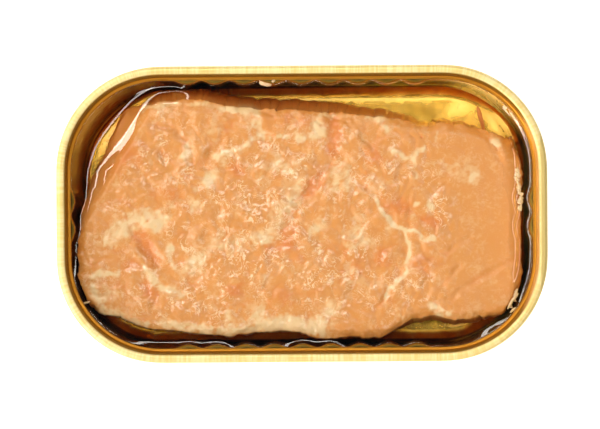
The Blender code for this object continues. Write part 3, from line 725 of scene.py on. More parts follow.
def flesh_finish():
    """Cooked salmon: orange flesh with pale fat, wet, and softly lit from within; painted shade under the
    oil, and pale strings that are also painted highlights.
    """
    look = bpy.context.scene.salmon_can
    flesh = tinted(look.flesh_color)
    fat = tinted(look.fat_color)
    shading = Shading(bpy.data.materials.new("cooked_salmon"))
    where = shading.coordinates()
    # Masks: pale fat, deeper orange, painted shade under the oil, and wetness
    pale, bright, submerged_shade, wet = shading.masks("flesh")
    mottle = shading.noise(where, 420.0, 5.0, 0.62, 0.6)
    fine = shading.noise(where, 1900.0, 3.0, 0.6, 0.4)
    depth = shading.math("ADD", bright, shading.times(mottle, 0.5))
    body = shading.mix(shading.remap(depth, 0.3, 1.1), flesh, tinted(look.deep_color))
    flecks = shading.blend(shading.noise(where, 1100.0, 3.0, 0.6, 0.5), 0.6,
                           shading.noise(where, 230.0, 3.0, 0.6, 0.4), 0.6)
    flecks = shading.math("ADD", flecks, shading.times(pale, 0.35))
    body = shading.mix(shading.remap(flecks, 0.58, 0.84), body, tinted(flesh, 1.07, 1.32, 2.1))
    fatty = shading.math("ADD", shading.blend(pale, 0.8, mottle, 0.45), shading.times(fine, 0.15))
    body = shading.mix(shading.remap(fatty, 0.45, 0.95), body, fat)
    winding = shading.noise(where, 520.0, 1.0, 0.4, 2.2)
    centre = shading.math("ABSOLUTE", shading.math("SUBTRACT", winding, 0.5))
    broken = shading.remap(shading.noise(where, 330.0, 1.0, 0.4), 0.44, 0.52)
    # Pale curd strings, which also serve as painted highlights along the film's glints
    fat_and_glint_strings = shading.times(shading.times(shading.remap(centre, 0.05, 0.012), broken), wet)
    body = shading.mix(shading.times(fat_and_glint_strings, 0.75), body, tinted(fat, 1.15, 1.18, 1.3))
    crumple = shading.noise(where, 900.0, 4.0, 0.55, 1.2)
    grain = shading.times(shading.blend(mottle, 0.5, crumple, 0.5), wet)
    film = shading.times(shading.remap(winding, 0.45, 0.57), wet)
    # Painted shade: darker brown flesh under the oil
    shading.set(Base_Color=shading.mix(submerged_shade, body, tinted(flesh, 0.72, 0.56, 0.42)),
                Roughness=0.42, Subsurface_Weight=0.18, Subsurface_Scale=0.0013,
                Subsurface_Radius=(1.0, 0.6, 0.4), Coat_Roughness=0.04, Coat_IOR=1.6,
                Coat_Weight=shading.remap(wet, 0.1, 0.7, 0.1, 1.0),
                Normal=shading.bump(grain, look.flesh_bump),
                Coat_Normal=shading.bump(film, look.film_bump))
    return shading.owner


def oil_finish():
    """Clear amber oil that lets the lamps' light through to what lies in it."""
    look = bpy.context.scene.salmon_can
    shading = Shading(bpy.data.materials.new("amber_oil"))
    shading.set(Base_Color=WHITE, Roughness=0.0, IOR=1.47, Transmission_Weight=1.0,
                Coat_Weight=1.0, Coat_Roughness=0.0, Coat_IOR=1.5)
    path = shading.node("LightPath").outputs
    passes = shading.math("MAXIMUM", path["Is Shadow Ray"], path["Is Diffuse Ray"])
    surface = shading.node("MixShader", {0: passes, 1: shading.surface.outputs[0],
                                         2: shading.node("BsdfTransparent").outputs[0]})
    depth = shading.node("VolumeAbsorption", {"Color": tinted(look.oil_color), "Density": look.oil_density})
    shading.fill(shading.tree.nodes["Material Output"],
                 {"Surface": surface.outputs[0], "Volume": depth.outputs[0]})
    return shading.owner


# --- The rim and the tray --------------------------------------------------------------------


def seam_profile():
    """Mid-sheet rows of the seam ring, from its hook over the crown to the lip's edge."""
    top = CAN_HEIGHT - SKIN
    low = CAN_HEIGHT - SEAM_HEIGHT + SKIN
    inner = SEAM_WIDTH - SKIN
    rows = [(HOOK_REACH - SKIN, low), (SKIN + 0.18 * MM, low + 0.04 * MM), (SKIN, low + 0.35 * MM),
            (SKIN, (low + top) / 2.0)]
    for centre, start in ((SKIN + SEAM_CROWN, 180), (inner - SEAM_CROWN, 90)):
        rows += arc_rows(centre, top - SEAM_CROWN, SEAM_CROWN, start, start - 90, CROWN_STEPS)
    foot = ((0.1, 1.1), (0.25, 0.45), (0.45, 0.1), (0.75, 0.0))
    rows += [(inner + out * MM, low + up * MM) for out, up in foot]
    return rows + [(LIP_OFFSET - 0.06 * MM, low), (LIP_OFFSET, low)]


def build_rim():
    """The rolled seam ring."""
    profile = seam_profile()
    rows = parallel(profile, -SKIN) + parallel(profile, SKIN)[::-1]
    lengths = profile_lengths(rows)
    bm, _, _ = loft_profile(can_stations(*RIM_DETAIL), rows + rows[:1])
    bmesh.ops.remove_doubles(bm, verts=bm.verts, dist=SHEET * 0.01)
    bmesh.ops.recalc_face_normals(bm, faces=bm.faces)
    finish = rim_finish(lengths[len(profile)], lengths[len(profile) + LIP_ROWS])
    rim = add_piece("rolled_rim", bm, finish, "lid_ring")
    rounding = rim.modifiers.new("smooth", "SUBSURF")
    rounding.levels = rounding.render_levels = 1


def tray_profile():
    """Mid-sheet rows of the tray, from the flange in the seam down to the base panel."""
    flange = CAN_HEIGHT - FLANGE_DROP
    neck_foot = flange - NECK_HEIGHT
    top = shoulder_foot()
    rows = [(FLANGE_START, flange), (NECK_OFFSET - NECK_BEND, flange), (NECK_OFFSET, flange - NECK_BEND),
            (NECK_OFFSET, (flange + neck_foot) / 2.0), (NECK_OFFSET, neck_foot)]
    for step in range(1, SHOULDER_STEPS):
        share = step / SHOULDER_STEPS
        out = (WALL_TOP_OFFSET - NECK_OFFSET) * float(smoothstep(-0.1, 1.1, share))
        rows.append((NECK_OFFSET + out, neck_foot + (top - neck_foot) * share))
    for step in range(WALL_STEPS + 1):
        height = top + (rib_foot() - top) * step / WALL_STEPS
        rows.append((wall_offset(height), height, rib_share(height)))
    rows += arc_rows(WALL_FOOT_OFFSET + BOTTOM_RADIUS, BOTTOM_RADIUS + SKIN, BOTTOM_RADIUS, 180, 270,
                     BEND_STEPS)
    panel = SKIN + PANEL_STEP
    rows += [(RING_END - 0.3 * MM - BASE_RING * step / BASE_STEPS, SKIN)
             for step in range(BASE_STEPS - 1, -1, -1)]
    return rows + [(RING_END + PANEL_SLOPE, panel), (RING_END + 2.0 * PANEL_SLOPE, panel),
                   (CORNER_RADIUS - 1.0 * MM, panel)]


def inset_of(plan):
    """Distances of plan points in from the rim's outline."""
    away = np.abs(plan) - np.array((CAN_LENGTH, CAN_WIDTH)) / 2.0 + CORNER_RADIUS
    outside = np.linalg.norm(np.maximum(away, 0.0), axis=1)
    return CORNER_RADIUS - outside - np.minimum(away.max(axis=1), 0.0)


def mark_floor(bm):
    """Store where the tray gets painted light in bright gold, is mottled, gets painted shade on its walls,
    and which side is its inside.
    """
    layer = bm.verts.layers.float_color.new("floor")
    plan = np.array([vert.co.xy for vert in bm.verts])
    heights = np.array([vert.co.z for vert in bm.verts])
    x, y = plan.T
    low = heights < FLOOR_TOP
    inset = inset_of(plan)
    flat = smoothstep(6.2 * MM, 6.8 * MM, inset) * low
    patches = strongest(plan, PAINTED_FLOOR_LIGHT)
    line, width, start, end = FLOOR_HIGHLIGHT_LINE
    # Painted highlight along the floor's edge at the back
    edge = np.exp(-((inset - line) / width) ** 2) * smoothstep(start, start + 4.0 * MM, x)
    edge = edge * (1.0 - smoothstep(end, end + 6.0 * MM, x)) * (y > 0.0)
    # Painted light over the whole floor, stronger on its back half
    calm = np.where(y > 0.0, 0.22, 0.08)
    painted_light = np.maximum(np.maximum(patches, calm) * flat, edge * low)
    inner_side = np.arange(len(plan)) * 2 >= len(plan)
    wall = (heights > FLOOR_TOP) * (heights < PAINTED_WALL_LIGHT_TOP) * inner_side
    painted_light = np.maximum(painted_light, strongest(plan, PAINTED_WALL_LIGHT) * wall)
    mottled = flat * np.maximum(0.06, patches * np.where(x < 0.0, 1.0, 0.3))
    # Painted shade on the walls, fading out towards the upper right
    wall_shade = wall * (1.0 - smoothstep(10.0 * MM, 34.0 * MM, plan @ np.array((0.8, 0.6))))
    for vert, marks in zip(bm.verts, np.stack([painted_light, mottled, wall_shade, inner_side], axis=1)):
        vert[layer] = marks


def build_tray():
    """The drawn tray: flange, neck, ribbed wall, bottom radius and raised base panel."""
    profile = tray_profile()
    rows = parallel(profile, -SKIN)[::-1] + parallel(profile, SKIN)
    bm, first, last = loft_profile(can_stations(*TRAY_DETAIL), rows)
    bmesh.ops.edgeloop_fill(bm, edges=first)
    bmesh.ops.edgeloop_fill(bm, edges=last)
    bmesh.ops.recalc_face_normals(bm, faces=bm.faces)
    mark_floor(bm)
    add_piece("ribbed_tray", bm, tray_finish(), "can_body")


# --- Patterns on plan points -------------------------------------------------------------------


def noise_at(plan, size, seed):
    """Smooth noise between -1 and 1 at plan points, with bumps of a size."""
    return np.array([noise.noise(Vector((x / size, y / size, seed))) for x, y in plan])


def layers_at(plan, layers):
    """Several noises added: size, seed and strength of each."""
    return sum(noise_at(plan, size, seed) * strength for size, seed, strength in layers)


def bent_plan(plan, size, seeds, reach):
    """Plan points pushed about by two noises."""
    return plan + np.stack([noise_at(plan, size, seed) for seed in seeds], axis=1) * reach


def curls_at(plan, size, seed):
    """Winding ridges between 0 and 1 at plan points: where a bent noise passes through 0."""
    bent = bent_plan(plan, size * 1.6, (seed + 11.0, seed + 23.0), size * 0.9)
    return np.clip(1.0 - np.abs(noise_at(bent, size, seed)) * 5.0, 0.0, 1.0)


def lumps_at(plan, size, seed):
    """Rounded lumps between 0 and 1 at plan points, with sharp creases between them."""
    bent = bent_plan(plan, size * 1.3, (seed + 13.0, seed + 29.0), size * 0.5)
    return np.clip(np.abs(noise_at(bent, size, seed)) * 2.4, 0.0, 1.0)


def route_closeness(plan, half_width, route):
    """Closeness from 0 to 1 of plan points to a route, both in millimetres."""
    points = np.array(route) * MM
    nearest = np.full(len(plan), 1.0)
    for start, end in zip(points, points[1:]):
        run = end - start
        share = np.clip((plan - start) @ run / (run @ run), 0.0, 1.0)
        nearest = np.minimum(nearest, np.linalg.norm(plan - start - share[:, None] * run, axis=1))
    return np.exp(-(nearest / (half_width * MM)) ** 2)


def patch_closeness(plan, patch):
    """Closeness from 0 to 1 of plan points to a patch's middle, times the patch's strength."""
    x, y, reach_x, reach_y, turn, strength = patch
    away = plan - np.array((x, y)) * MM
    angle = math.radians(turn)
    along = away @ np.array((math.cos(angle), math.sin(angle))) / (reach_x * MM)
    aside = away @ np.array((-math.sin(angle), math.cos(angle))) / (reach_y * MM)
    return strength * np.exp(-0.8 * (along * along + aside * aside))


def strongest(plan, patches):
    """The strongest patch at each plan point."""
    return np.max([patch_closeness(plan, patch) for patch in patches], axis=0)


# --- The fillet ------------------------------------------------------------------------------


def curve_point(points, share):
    """Point at a share of the way along a smooth curve through points in millimetres."""
    last = len(points) - 1
    span = min(int(share * last), last - 1)
    step = share * last - span
    p1 = Vector(points[span])
    p2 = Vector(points[span + 1])
    p0 = Vector(points[span - 1]) if span else p1 * 2.0 - p2
    p3 = Vector(points[span + 2]) if span + 2 <= last else p2 * 2.0 - p1
    bend = (p0 * -1.0 + p1 * 3.0 - p2 * 3.0 + p3) * step ** 3
    bend += (p0 * 2.0 - p1 * 5.0 + p2 * 4.0 - p3) * step ** 2
    return (p1 * 2.0 + (p2 - p0) * step + bend) * (0.5 * MM)


def even_curve(points, shares):
    """Points of a curve at shares of its length, as an array."""
    count = EDGE_SAMPLES * (len(points) - 1)
    samples = np.array([curve_point(points, index / count) for index in range(count + 1)])
    steps = np.linalg.norm(np.diff(samples, axis=0), axis=1)
    lengths = np.concatenate(([0.0], np.cumsum(steps)))
    wanted = np.asarray(shares) * lengths[-1]
    return np.stack([np.interp(wanted, lengths, samples[:, axis]) for axis in (0, 1)], axis=1)


def spread(share):
    """Crowd the grid's lines a little towards both ends of a side."""
    turn = 2.0 * share - 1.0
    return 0.5 + 0.5 * np.copysign(1.0 - (1.0 - np.abs(turn)) ** CROWDING, turn)


def between_ends(points, share):
    """Points at a share of the straight way from an outline's first point to its last."""
    first, last = np.array(points[0]) * MM, np.array(points[-1]) * MM
    return first * (1.0 - share) + last * share


def fillet_plan(across, up):
    """Plan points of the fillet for shares across and up it, blended between its four sides."""
    low = even_curve(OUTLINE_BOTTOM, across)
    high = even_curve(OUTLINE_TOP, across)
    west = even_curve(OUTLINE_LEFT, up)
    east = even_curve(OUTLINE_RIGHT, up)
    across = across[:, None]
    up = up[:, None]
    between = low * (1.0 - up) + high * up + west * (1.0 - across) + east * across
    plan = between - between_ends(OUTLINE_BOTTOM, across) * (1.0 - up)
    plan = plan - between_ends(OUTLINE_TOP, across) * up
    inside = np.minimum(np.minimum(up, 1.0 - up) * FILLET_WIDTH,
                        np.minimum(across, 1.0 - across) * FILLET_LENGTH)
    ragged = np.stack([layers_at(plan, RAGGED_X), layers_at(plan, RAGGED_Y)], axis=1)
    return plan + ragged * np.exp(-(inside / RAGGED_REACH) ** 2) * RAGGED_EDGE


def round_over(distance, rounding):
    """Drop of the top at a distance in from a side."""
    reach, drop = rounding
    share = np.clip(1.0 - distance / reach, 0.0, 1.0)
    return drop * share * share


def sink_at(distance, sinking):
    """Drop of the top at a distance along which it sinks."""
    start, end, depth = sinking
    return depth * smoothstep(start, end, distance)


def corner_beyond(plan):
    """How far plan points lie beyond the line where the upper left corner sinks."""
    start = np.array(CORNER_LINE[0]) * MM
    run = np.array(CORNER_LINE[1]) * MM - start
    run /= np.linalg.norm(run)
    return (plan - start) @ np.array((run[1], -run[0]))


def fold_depth(plan):
    """Depth of the folds between the flakes."""
    bent = bent_plan(plan, *FOLD_WAVER)
    folds = [deep * MM * route_closeness(bent, half_width, route) for deep, half_width, *route in FOLDS]
    return np.maximum(0.0, np.max(folds, axis=0))


def pit_depth(plan):
    """Depth of the pinholes."""
    depth = np.zeros(len(plan))
    for x, y, radius in PITS:
        away = np.linalg.norm(plan - np.array((x, y)) * MM, axis=1) / (radius * MM)
        depth = np.maximum(depth, PIT_DEPTH * np.exp(-away * away))
    return depth


def flakes(plan):
    """Broad swells and small crags of the flakes."""
    long, short = FLAKE_SIZE
    broad = noise_at(plan / np.array((1.0, short / long)), long, FLAKE_SEED)
    crag = noise_at(plan, CRAG_SIZE, CRAG_SEED)
    flat_end = 1.0 - 0.6 * smoothstep(20.0 * MM, 34.0 * MM, plan[:, 0])
    return (broad * FLAKE_RELIEF + crag * CRAG_RELIEF) * flat_end


def fillet_top(plan, across, up):
    """Heights of the fillet's top at plan points, and its masks: pale, bright, painted shade under the oil,
    and wet.
    """
    x = plan[:, 0]
    beyond = corner_beyond(plan)
    sunk = smoothstep(*CALM_CORNER, beyond)
    start, end, calm_end = CALM_END
    moving = 1.0 - np.maximum(smoothstep(start, end, x) * calm_end, sunk)
    lively = moving * smoothstep(-0.35, 0.3, noise_at(plan, *LIVELY_SPOTS) + 0.12)
    folds = fold_depth(plan)
    pits = pit_depth(plan)
    curls = curls_at(plan, *CURLS) * lively
    small = curls_at(plan, *SMALL_CURLS) * lively
    lumps = lumps_at(plan, *LUMPS)
    grains = lumps_at(plan, *GRAINS)
    height = FILLET_TOP + flakes(plan) - folds * 0.75 - pits
    height -= sink_at(beyond, CORNER_SINK) + sink_at(x, END_SINK)
    for share, length, roundings in ((across, FILLET_LENGTH, (ROUND_LEFT, ROUND_RIGHT)),
                                     (up, FILLET_WIDTH, (ROUND_BOTTOM, ROUND_TOP))):
        height -= round_over(share * length, roundings[0])
        height -= round_over((1.0 - share) * length, roundings[1])
    height += curls * CURL_HEIGHT + small * SMALL_CURL_HEIGHT
    for pattern, (calm, extra) in ((lumps - 0.4, LUMP_HEIGHTS), (grains - 0.4, GRAIN_HEIGHTS),
                                   (noise_at(plan, *ROUGHNESS), ROUGH_HEIGHTS)):
        height += pattern * (calm + extra * moving)
    clumps = smoothstep(-0.45, 0.15, layers_at(plan, GLINT_CLUMPS))
    glints = (strongest(plan, GLINT_PATCHES) * 1.5 + 0.3 * lively) * clumps
    wet = np.clip(0.08 + glints, 0.0, 1.0) * (1.0 - sunk)
    creases = (1.0 - smoothstep(0.0, 0.3, lumps)) * moving
    bent = bent_plan(plan, *PATCH_WAVER)
    bright = folds / (1.8 * MM) + creases * 0.25 + layers_at(plan, BRIGHT_CLOUDS)
    for patch in BRIGHT_PATCHES:
        bright += patch_closeness(bent, patch)
    pale = layers_at(plan, PALE_CLOUDS)
    for strength, half_width, *route in VEINS:
        pale += strength * route_closeness(bent, half_width, route)
    for patch in PALE_PATCHES:
        pale += patch_closeness(bent, patch)
    grain = np.clip(0.85 + layers_at(plan, PALE_GRAIN), 0.3, 1.25)
    pale = pale * grain + curls * 0.18 * lively - bright * 0.4
    bright = bright + pits / (0.3 * MM)
    # Painted shade beyond the upper left corner's line, where the top sinks under the oil
    submerged_shade = smoothstep(-1.0 * MM, 5.0 * MM, beyond) * 0.75
    return height, np.stack([np.clip(pale, 0.0, 1.0), np.clip(bright, 0.0, 1.0), submerged_shade, wet], axis=1)


def soaked_swell(spot, height):
    """Outward step of the soft flank under the oil, where it bulges beyond the top."""
    low, high = SWELL_HEIGHTS
    if not low < height < high:
        return 0.0
    start, full, fading, end = BACK_SWELL if spot.y > 0.0 else FRONT_SWELL
    share = float(smoothstep(start, full, spot.x) * smoothstep(end, fading, spot.x))
    return share * SWELL * (1.0 if spot.y > 0.0 else FRONT_SHARE)


def extrude_flank(bm, rim, height, swell):
    """Extrude the flank's lowest loop down to a height, stepping outwards by swell."""
    made = bmesh.ops.extrude_edge_only(bm, edges=rim)["geom"]
    edges = [item for item in made if isinstance(item, bmesh.types.BMEdge)]
    edge_set = set(edges)
    along, down, relief = FLANK_RIPPLES
    steps = []
    for vert in made:
        if not isinstance(vert, bmesh.types.BMVert):
            continue
        near = [edge.other_vert(vert).co.xy for edge in vert.link_edges if edge in edge_set]
        run = near[1] - near[0]
        out = Vector((run.y, -run.x)).normalized()
        if out.dot(vert.co.xy) < 0.0:
            out.negate()
        ripple = noise.noise(Vector((vert.co.x / along, vert.co.y / along, height / down))) * relief
        steps.append((vert, out * (swell + ripple + soaked_swell(vert.co, height))))
    for vert, step in steps:
        vert.co = (vert.co.x + step.x, vert.co.y + step.y, min(height, vert.co.z - FLANK_STEP))
    return edges


def build_fillet():
    """The salmon fillet: a relief on top, a rounded flank and a flat base."""
    bm = bmesh.new()
    bmesh.ops.create_grid(bm, x_segments=FILLET_COLUMNS, y_segments=FILLET_ROWS, size=0.5)
    shares = np.array([vert.co.xy for vert in bm.verts]) + 0.5
    across = spread(shares[:, 0])
    up = spread(shares[:, 1])
    plan = fillet_plan(across, up)
    heights, masks = fillet_top(plan, across, up)
    layer = bm.verts.layers.float_color.new("flesh")
    for index, vert in enumerate(bm.verts):
        vert.co = (plan[index, 0], plan[index, 1], heights[index])
        vert[layer] = masks[index]
    rim = [edge for edge in bm.edges if edge.is_boundary]
    for height, swell in FLANK_ROWS:
        rim = extrude_flank(bm, rim, height, swell)
        # Down the flank the fat fades, the painted shade deepens and the flesh is less wet
        for vert in {vert for edge in rim for vert in edge.verts}:
            pale, bright, submerged_shade, wet = vert[layer]
            vert[layer] = (pale * 0.75, bright, min(1.0, submerged_shade + 0.35), wet * 0.8)
    bmesh.ops.edgeloop_fill(bm, edges=rim)
    bmesh.ops.recalc_face_normals(bm, faces=bm.faces)
    add_piece("salmon_fillet_flesh", bm, flesh_finish(), "salmon_fillet")


# --- The oil ---------------------------------------------------------------------------------


def read_table(table, azimuth):
    """A table's columns at an azimuth in degrees, straight between its rows."""
    table = np.array(table)
    return [np.interp(azimuth, table[:, 0], column) for column in table.T[1:]]


def bend_rise(distance, width):
    """Integral of a slope that turns smoothly from 0 to 1 within a width round distance 0."""
    return width * math.log1p(math.exp(max(min(distance / width, 30.0), -30.0)))


def oil_heights(station, distances, flesh):
    """Heights of the oil's surface at distances in from the wall, given the flesh's heights."""
    slope = bpy.context.scene.salmon_can.bend_slope
    azimuth = math.degrees(math.atan2(station[0].y, station[0].x))
    wall_bend, wall_steep, fillet_bend, fillet_steep, width = read_table(BENDS, azimuth)
    lift, = read_table(LIFTS, azimuth)
    rib = RIB_DEPTH / MM * station[2] * rib_share(OIL_LEVEL) * (0.4 if abs(azimuth) < 35.0 else 1.0)
    most = END_CLIMB if abs(azimuth) < 45.0 else MOST_CLIMB
    heights = []
    landed = None
    for distance, floor in zip(distances, flesh):
        spot = distance / MM + rib
        climb = fillet_steep * bend_rise(spot - fillet_bend, width)
        rise = wall_steep * bend_rise(wall_bend - spot, width) + most * math.tanh(climb / most)
        height = OIL_LEVEL + (slope * rise + lift - OIL_DIP) * MM
        if landed is None and floor > height:
            landed = distance
        if landed is not None:
            height = min(height, floor - SINKING_SLOPE * (distance - landed))
        heights.append(height)
    return heights


def wall_start(station):
    """Offset of the wall's mid-sheet at the oil's level at a station."""
    return wall_offset(OIL_LEVEL) + RIB_DEPTH * station[2] * rib_share(OIL_LEVEL)


def flesh_heights(tree, station, distances):
    """Heights of the flesh at distances in from the wall, or 0 where there is none."""
    heights = []
    for distance in distances:
        spot = place(station, wall_start(station) + distance, CAN_HEIGHT)
        hit = tree.ray_cast(spot, Vector((0.0, 0.0, -1.0)))[0]
        heights.append(hit.z if hit is not None else 0.0)
    return heights


def oil_reach(tree, station):
    """Distance in from the wall at which the oil's surface ends inside the fillet."""
    distances = [step * REACH_STEP for step in range(*REACH_STEPS)]
    for distance, floor in zip(distances, flesh_heights(tree, station, distances)):
        if floor > OIL_LEVEL + SURE_FLESH:
            return distance + OIL_OVERLAP
    return distances[-1]


def build_oil():
    """The oil, from just inside the wall's sheet to just inside the fillet."""
    fillet = bpy.data.objects["salmon_fillet_flesh"]
    tree = BVHTree.FromObject(fillet, bpy.context.evaluated_depsgraph_get())
    stations = can_stations(*OIL_DETAIL)
    reach = [oil_reach(tree, station) for station in stations]
    near = range(-REACH_WINDOW, REACH_WINDOW + 1)
    smooth = [sum(reach[(index + step) % len(reach)] for step in near) / len(near)
              for index in range(len(reach))]
    spots = [[far * step / OIL_STEPS for step in range(OIL_STEPS + 1)] for far in smooth]
    surface = np.array([oil_heights(station, distances, flesh_heights(tree, station, distances))
                        for station, distances in zip(stations, spots)])
    for turn in EVEN_TURNS:
        surface = surface * 0.5 + np.roll(surface, turn, axis=0) * 0.5
    rows = [[place(station, wall_start(station) + spots[index][step], surface[index, step])
             for index, station in enumerate(stations)] for step in range(OIL_STEPS, -1, -1)]
    ends = [(station, wall_start(station) + far) for station, far in zip(stations, smooth)]
    inner = [place(station, end, SKIN + PANEL_STEP * float(smoothstep(0.0, PANEL_SLOPE, end - RING_END)))
             for station, end in ends]
    ledge = [place(station, min(end - LEDGE, RING_END), SKIN) for station, end in ends]
    foot = BOTTOM_RADIUS + SKIN
    heights = [SKIN + foot * (1.0 - math.cos(math.radians(turn))) for turn in range(0, 90, 10)]
    heights += [rib_foot(), rib_foot() + RIB_FADE * 0.5, rib_foot() + RIB_FADE, *WALL_HEIGHTS]
    walls = [[place(station, wall_offset(height), height, rib_share(height)) for station in stations]
             for height in heights[::-1]]
    bm, first, last = loft([ledge, inner] + rows + walls)
    bmesh.ops.bridge_loops(bm, edges=first + last)
    bmesh.ops.recalc_face_normals(bm, faces=bm.faces)
    add_piece("amber_oil_pool", bm, oil_finish(), "oil")


# --- Crumbs ----------------------------------------------------------------------------------


def crumbs_and_flakes():
    """Every loose bit: the listed crumbs, and the trails' small flakes strewn by chance."""
    chance = random.Random(TRAIL_SEED)
    pieces = list(CRUMBS)
    for count, height, start, end in TRAILS:
        for _ in range(count):
            share = chance.random()
            x = start[0] + (end[0] - start[0]) * share + chance.gauss(0.0, TRAIL_WIDTHS[0])
            y = start[1] + (end[1] - start[1]) * share + chance.gauss(0.0, TRAIL_WIDTHS[1])
            size = chance.uniform(*FLAKE_HALF_SIZES)
            pieces.append((x, y, height + chance.uniform(-0.2, 0.2), size, size * chance.uniform(0.8, 2.4),
                           size * 0.7, chance.uniform(-60.0, 60.0)))
    return pieces


def build_crumbs():
    """Loose bits of pale fish on the wall and along the fillet's edges, and one shred under the oil in
    painted shade.
    """
    bm = bmesh.new()
    layer = bm.verts.layers.float_color.new("flesh")
    for x, y, z, size_x, size_y, size_z, turn in crumbs_and_flakes():
        sunk = z < OIL_LEVEL / MM - 2.0
        made = bmesh.ops.create_icosphere(bm, subdivisions=3, radius=1.0)["verts"]
        angle = math.radians(turn)
        for vert in made:
            lump = 1.0 + 0.35 * noise.noise(vert.co * 1.3 + Vector((x, y, z)))
            flat = Vector((vert.co.x * size_x * lump, vert.co.y * size_y * lump, 0.0)) * MM
            spot = Vector((flat.x * math.cos(angle) - flat.y * math.sin(angle),
                           flat.x * math.sin(angle) + flat.y * math.cos(angle),
                           vert.co.z * size_z * lump * MM))
            vert.co = spot + Vector((x, y, z)) * MM
            # A crumb under the oil gets painted shade
            vert[layer] = (0.1, 0.3, 0.8, 0.0) if sunk else (0.85, 0.0, 0.0, 0.6)
    add_piece("fish_crumbs", bm, flesh_finish())


# --- The stage -------------------------------------------------------------------------------

# Strip and window lamps: name, place and size in metres, and the setting with the brightness
LAMPS = (("strip_left", (-0.60, 0.15, 0.86), (1.8, 0.13), "left_lamp"),
         ("strip_right", (0.45, -0.15, 0.90), (1.5, 0.12), "right_lamp"),
         ("strip_front", (-0.05, -0.66, 0.84), (1.0, 0.10), "front_lamp"),
         ("strip_back", (0.0, 0.42, 0.92), (1.1, 0.16), "back_lamp"),
         ("low_left", (-1.1, -0.7, 0.7), (0.9, 0.7), "low_lamp"),
         ("inside_fill", (0.15, -0.62, 0.95), (0.5, 0.4), "inside_lamp"),
         ("inside_top", (-0.03, 0.04, 0.98), (0.2, 0.2), "inside_lamp"))
CAMERA_PLACE = (-0.00042, -0.00015, 0.924)
CAMERA_TURN = math.radians(-0.4)
CAMERA_LENS = 252.9
FLOOR_SIZE = 3.0


def build_floor():
    """A plain pale floor that the can stands on."""
    bm = bmesh.new()
    bmesh.ops.create_grid(bm, x_segments=1, y_segments=1, size=FLOOR_SIZE)
    shading = Shading(bpy.data.materials.new("pale_floor"))
    seen = shading.node("LightPath").outputs["Is Camera Ray"]
    shading.set(Base_Color=tinted(bpy.context.scene.salmon_can.floor_color), Roughness=0.8,
                Emission_Color=WHITE, Emission_Strength=shading.remap(seen, 0.0, 1.0, 0.15, 0.55))
    mesh_object("floor", bm, shading.owner)


def add_lamp(name, spot, size, setting):
    """A soft rectangular lamp that points at the can."""
    lamp = bpy.data.lights.new(name, "AREA")
    lamp.shape = "RECTANGLE"
    lamp.size, lamp.size_y = size
    lamp.energy = getattr(bpy.context.scene.salmon_can, setting) * math.pi * size[0] * size[1]
    lamp.color = LAMP_COLOR
    piece = link_object(name, lamp)
    piece.location = spot
    piece.rotation_mode = "QUATERNION"
    piece.rotation_quaternion = (-Vector(spot)).to_track_quat("-Z", "Y")
    piece.visible_camera = False
    return piece


def build_world():
    """A surround that is dim overhead, bright towards the horizon, and brighter on the left."""
    look = bpy.context.scene.salmon_can
    world = Shading(bpy.data.worlds.new("studio"), "Background")
    where = world.node("TexCoord").outputs["Generated"]
    fade = world.remap(world.axis(where, "Z"), 0.1, 0.55, look.surround_low, look.surround_high)
    side = world.remap(world.axis(where, "X"), -1.0, 1.0, 1.3, 0.45, "LINEAR")
    world.set(Color=WHITE, Strength=world.times(fade, side))
    bpy.context.scene.world = world.owner


def build_camera():
    """The camera looks straight down at the can."""
    camera = bpy.data.cameras.new("camera")
    camera.sensor_width = 36.0
    camera.lens = CAMERA_LENS
    camera.clip_start = 0.05
    piece = link_object("camera", camera)
    piece.location = CAMERA_PLACE
    piece.rotation_euler = (0.0, 0.0, CAMERA_TURN)
    scene = bpy.context.scene
    scene.camera = piece
    scene.view_settings.view_transform = "Standard"
    scene.view_settings.look = "None"


def build_stage():
    """Floor, surround, lamps and camera; two of the lamps light the tray alone."""
    build_floor()
    build_world()
    inside = bpy.data.collections.new("lit_inside")
    inside.objects.link(bpy.data.objects["ribbed_tray"])
    for name, spot, size, setting in LAMPS:
        lamp = add_lamp(name, spot, size, setting)
        if setting == "inside_lamp":
            lamp.light_linking.receiver_collection = inside
    build_camera()


# --- The add-on ------------------------------------------------------------------------------


def color_property(name, description, default):
    """A colour that a user can change."""
    return bpy.props.FloatVectorProperty(name=name, description=description, default=default,
                                         subtype="COLOR", size=3, min=0.0, max=1.0)


def number_property(name, description, default, **more):
    """A number from 0 up that a user can change."""
    return bpy.props.FloatProperty(name=name, description=description, default=default, min=0.0, **more)


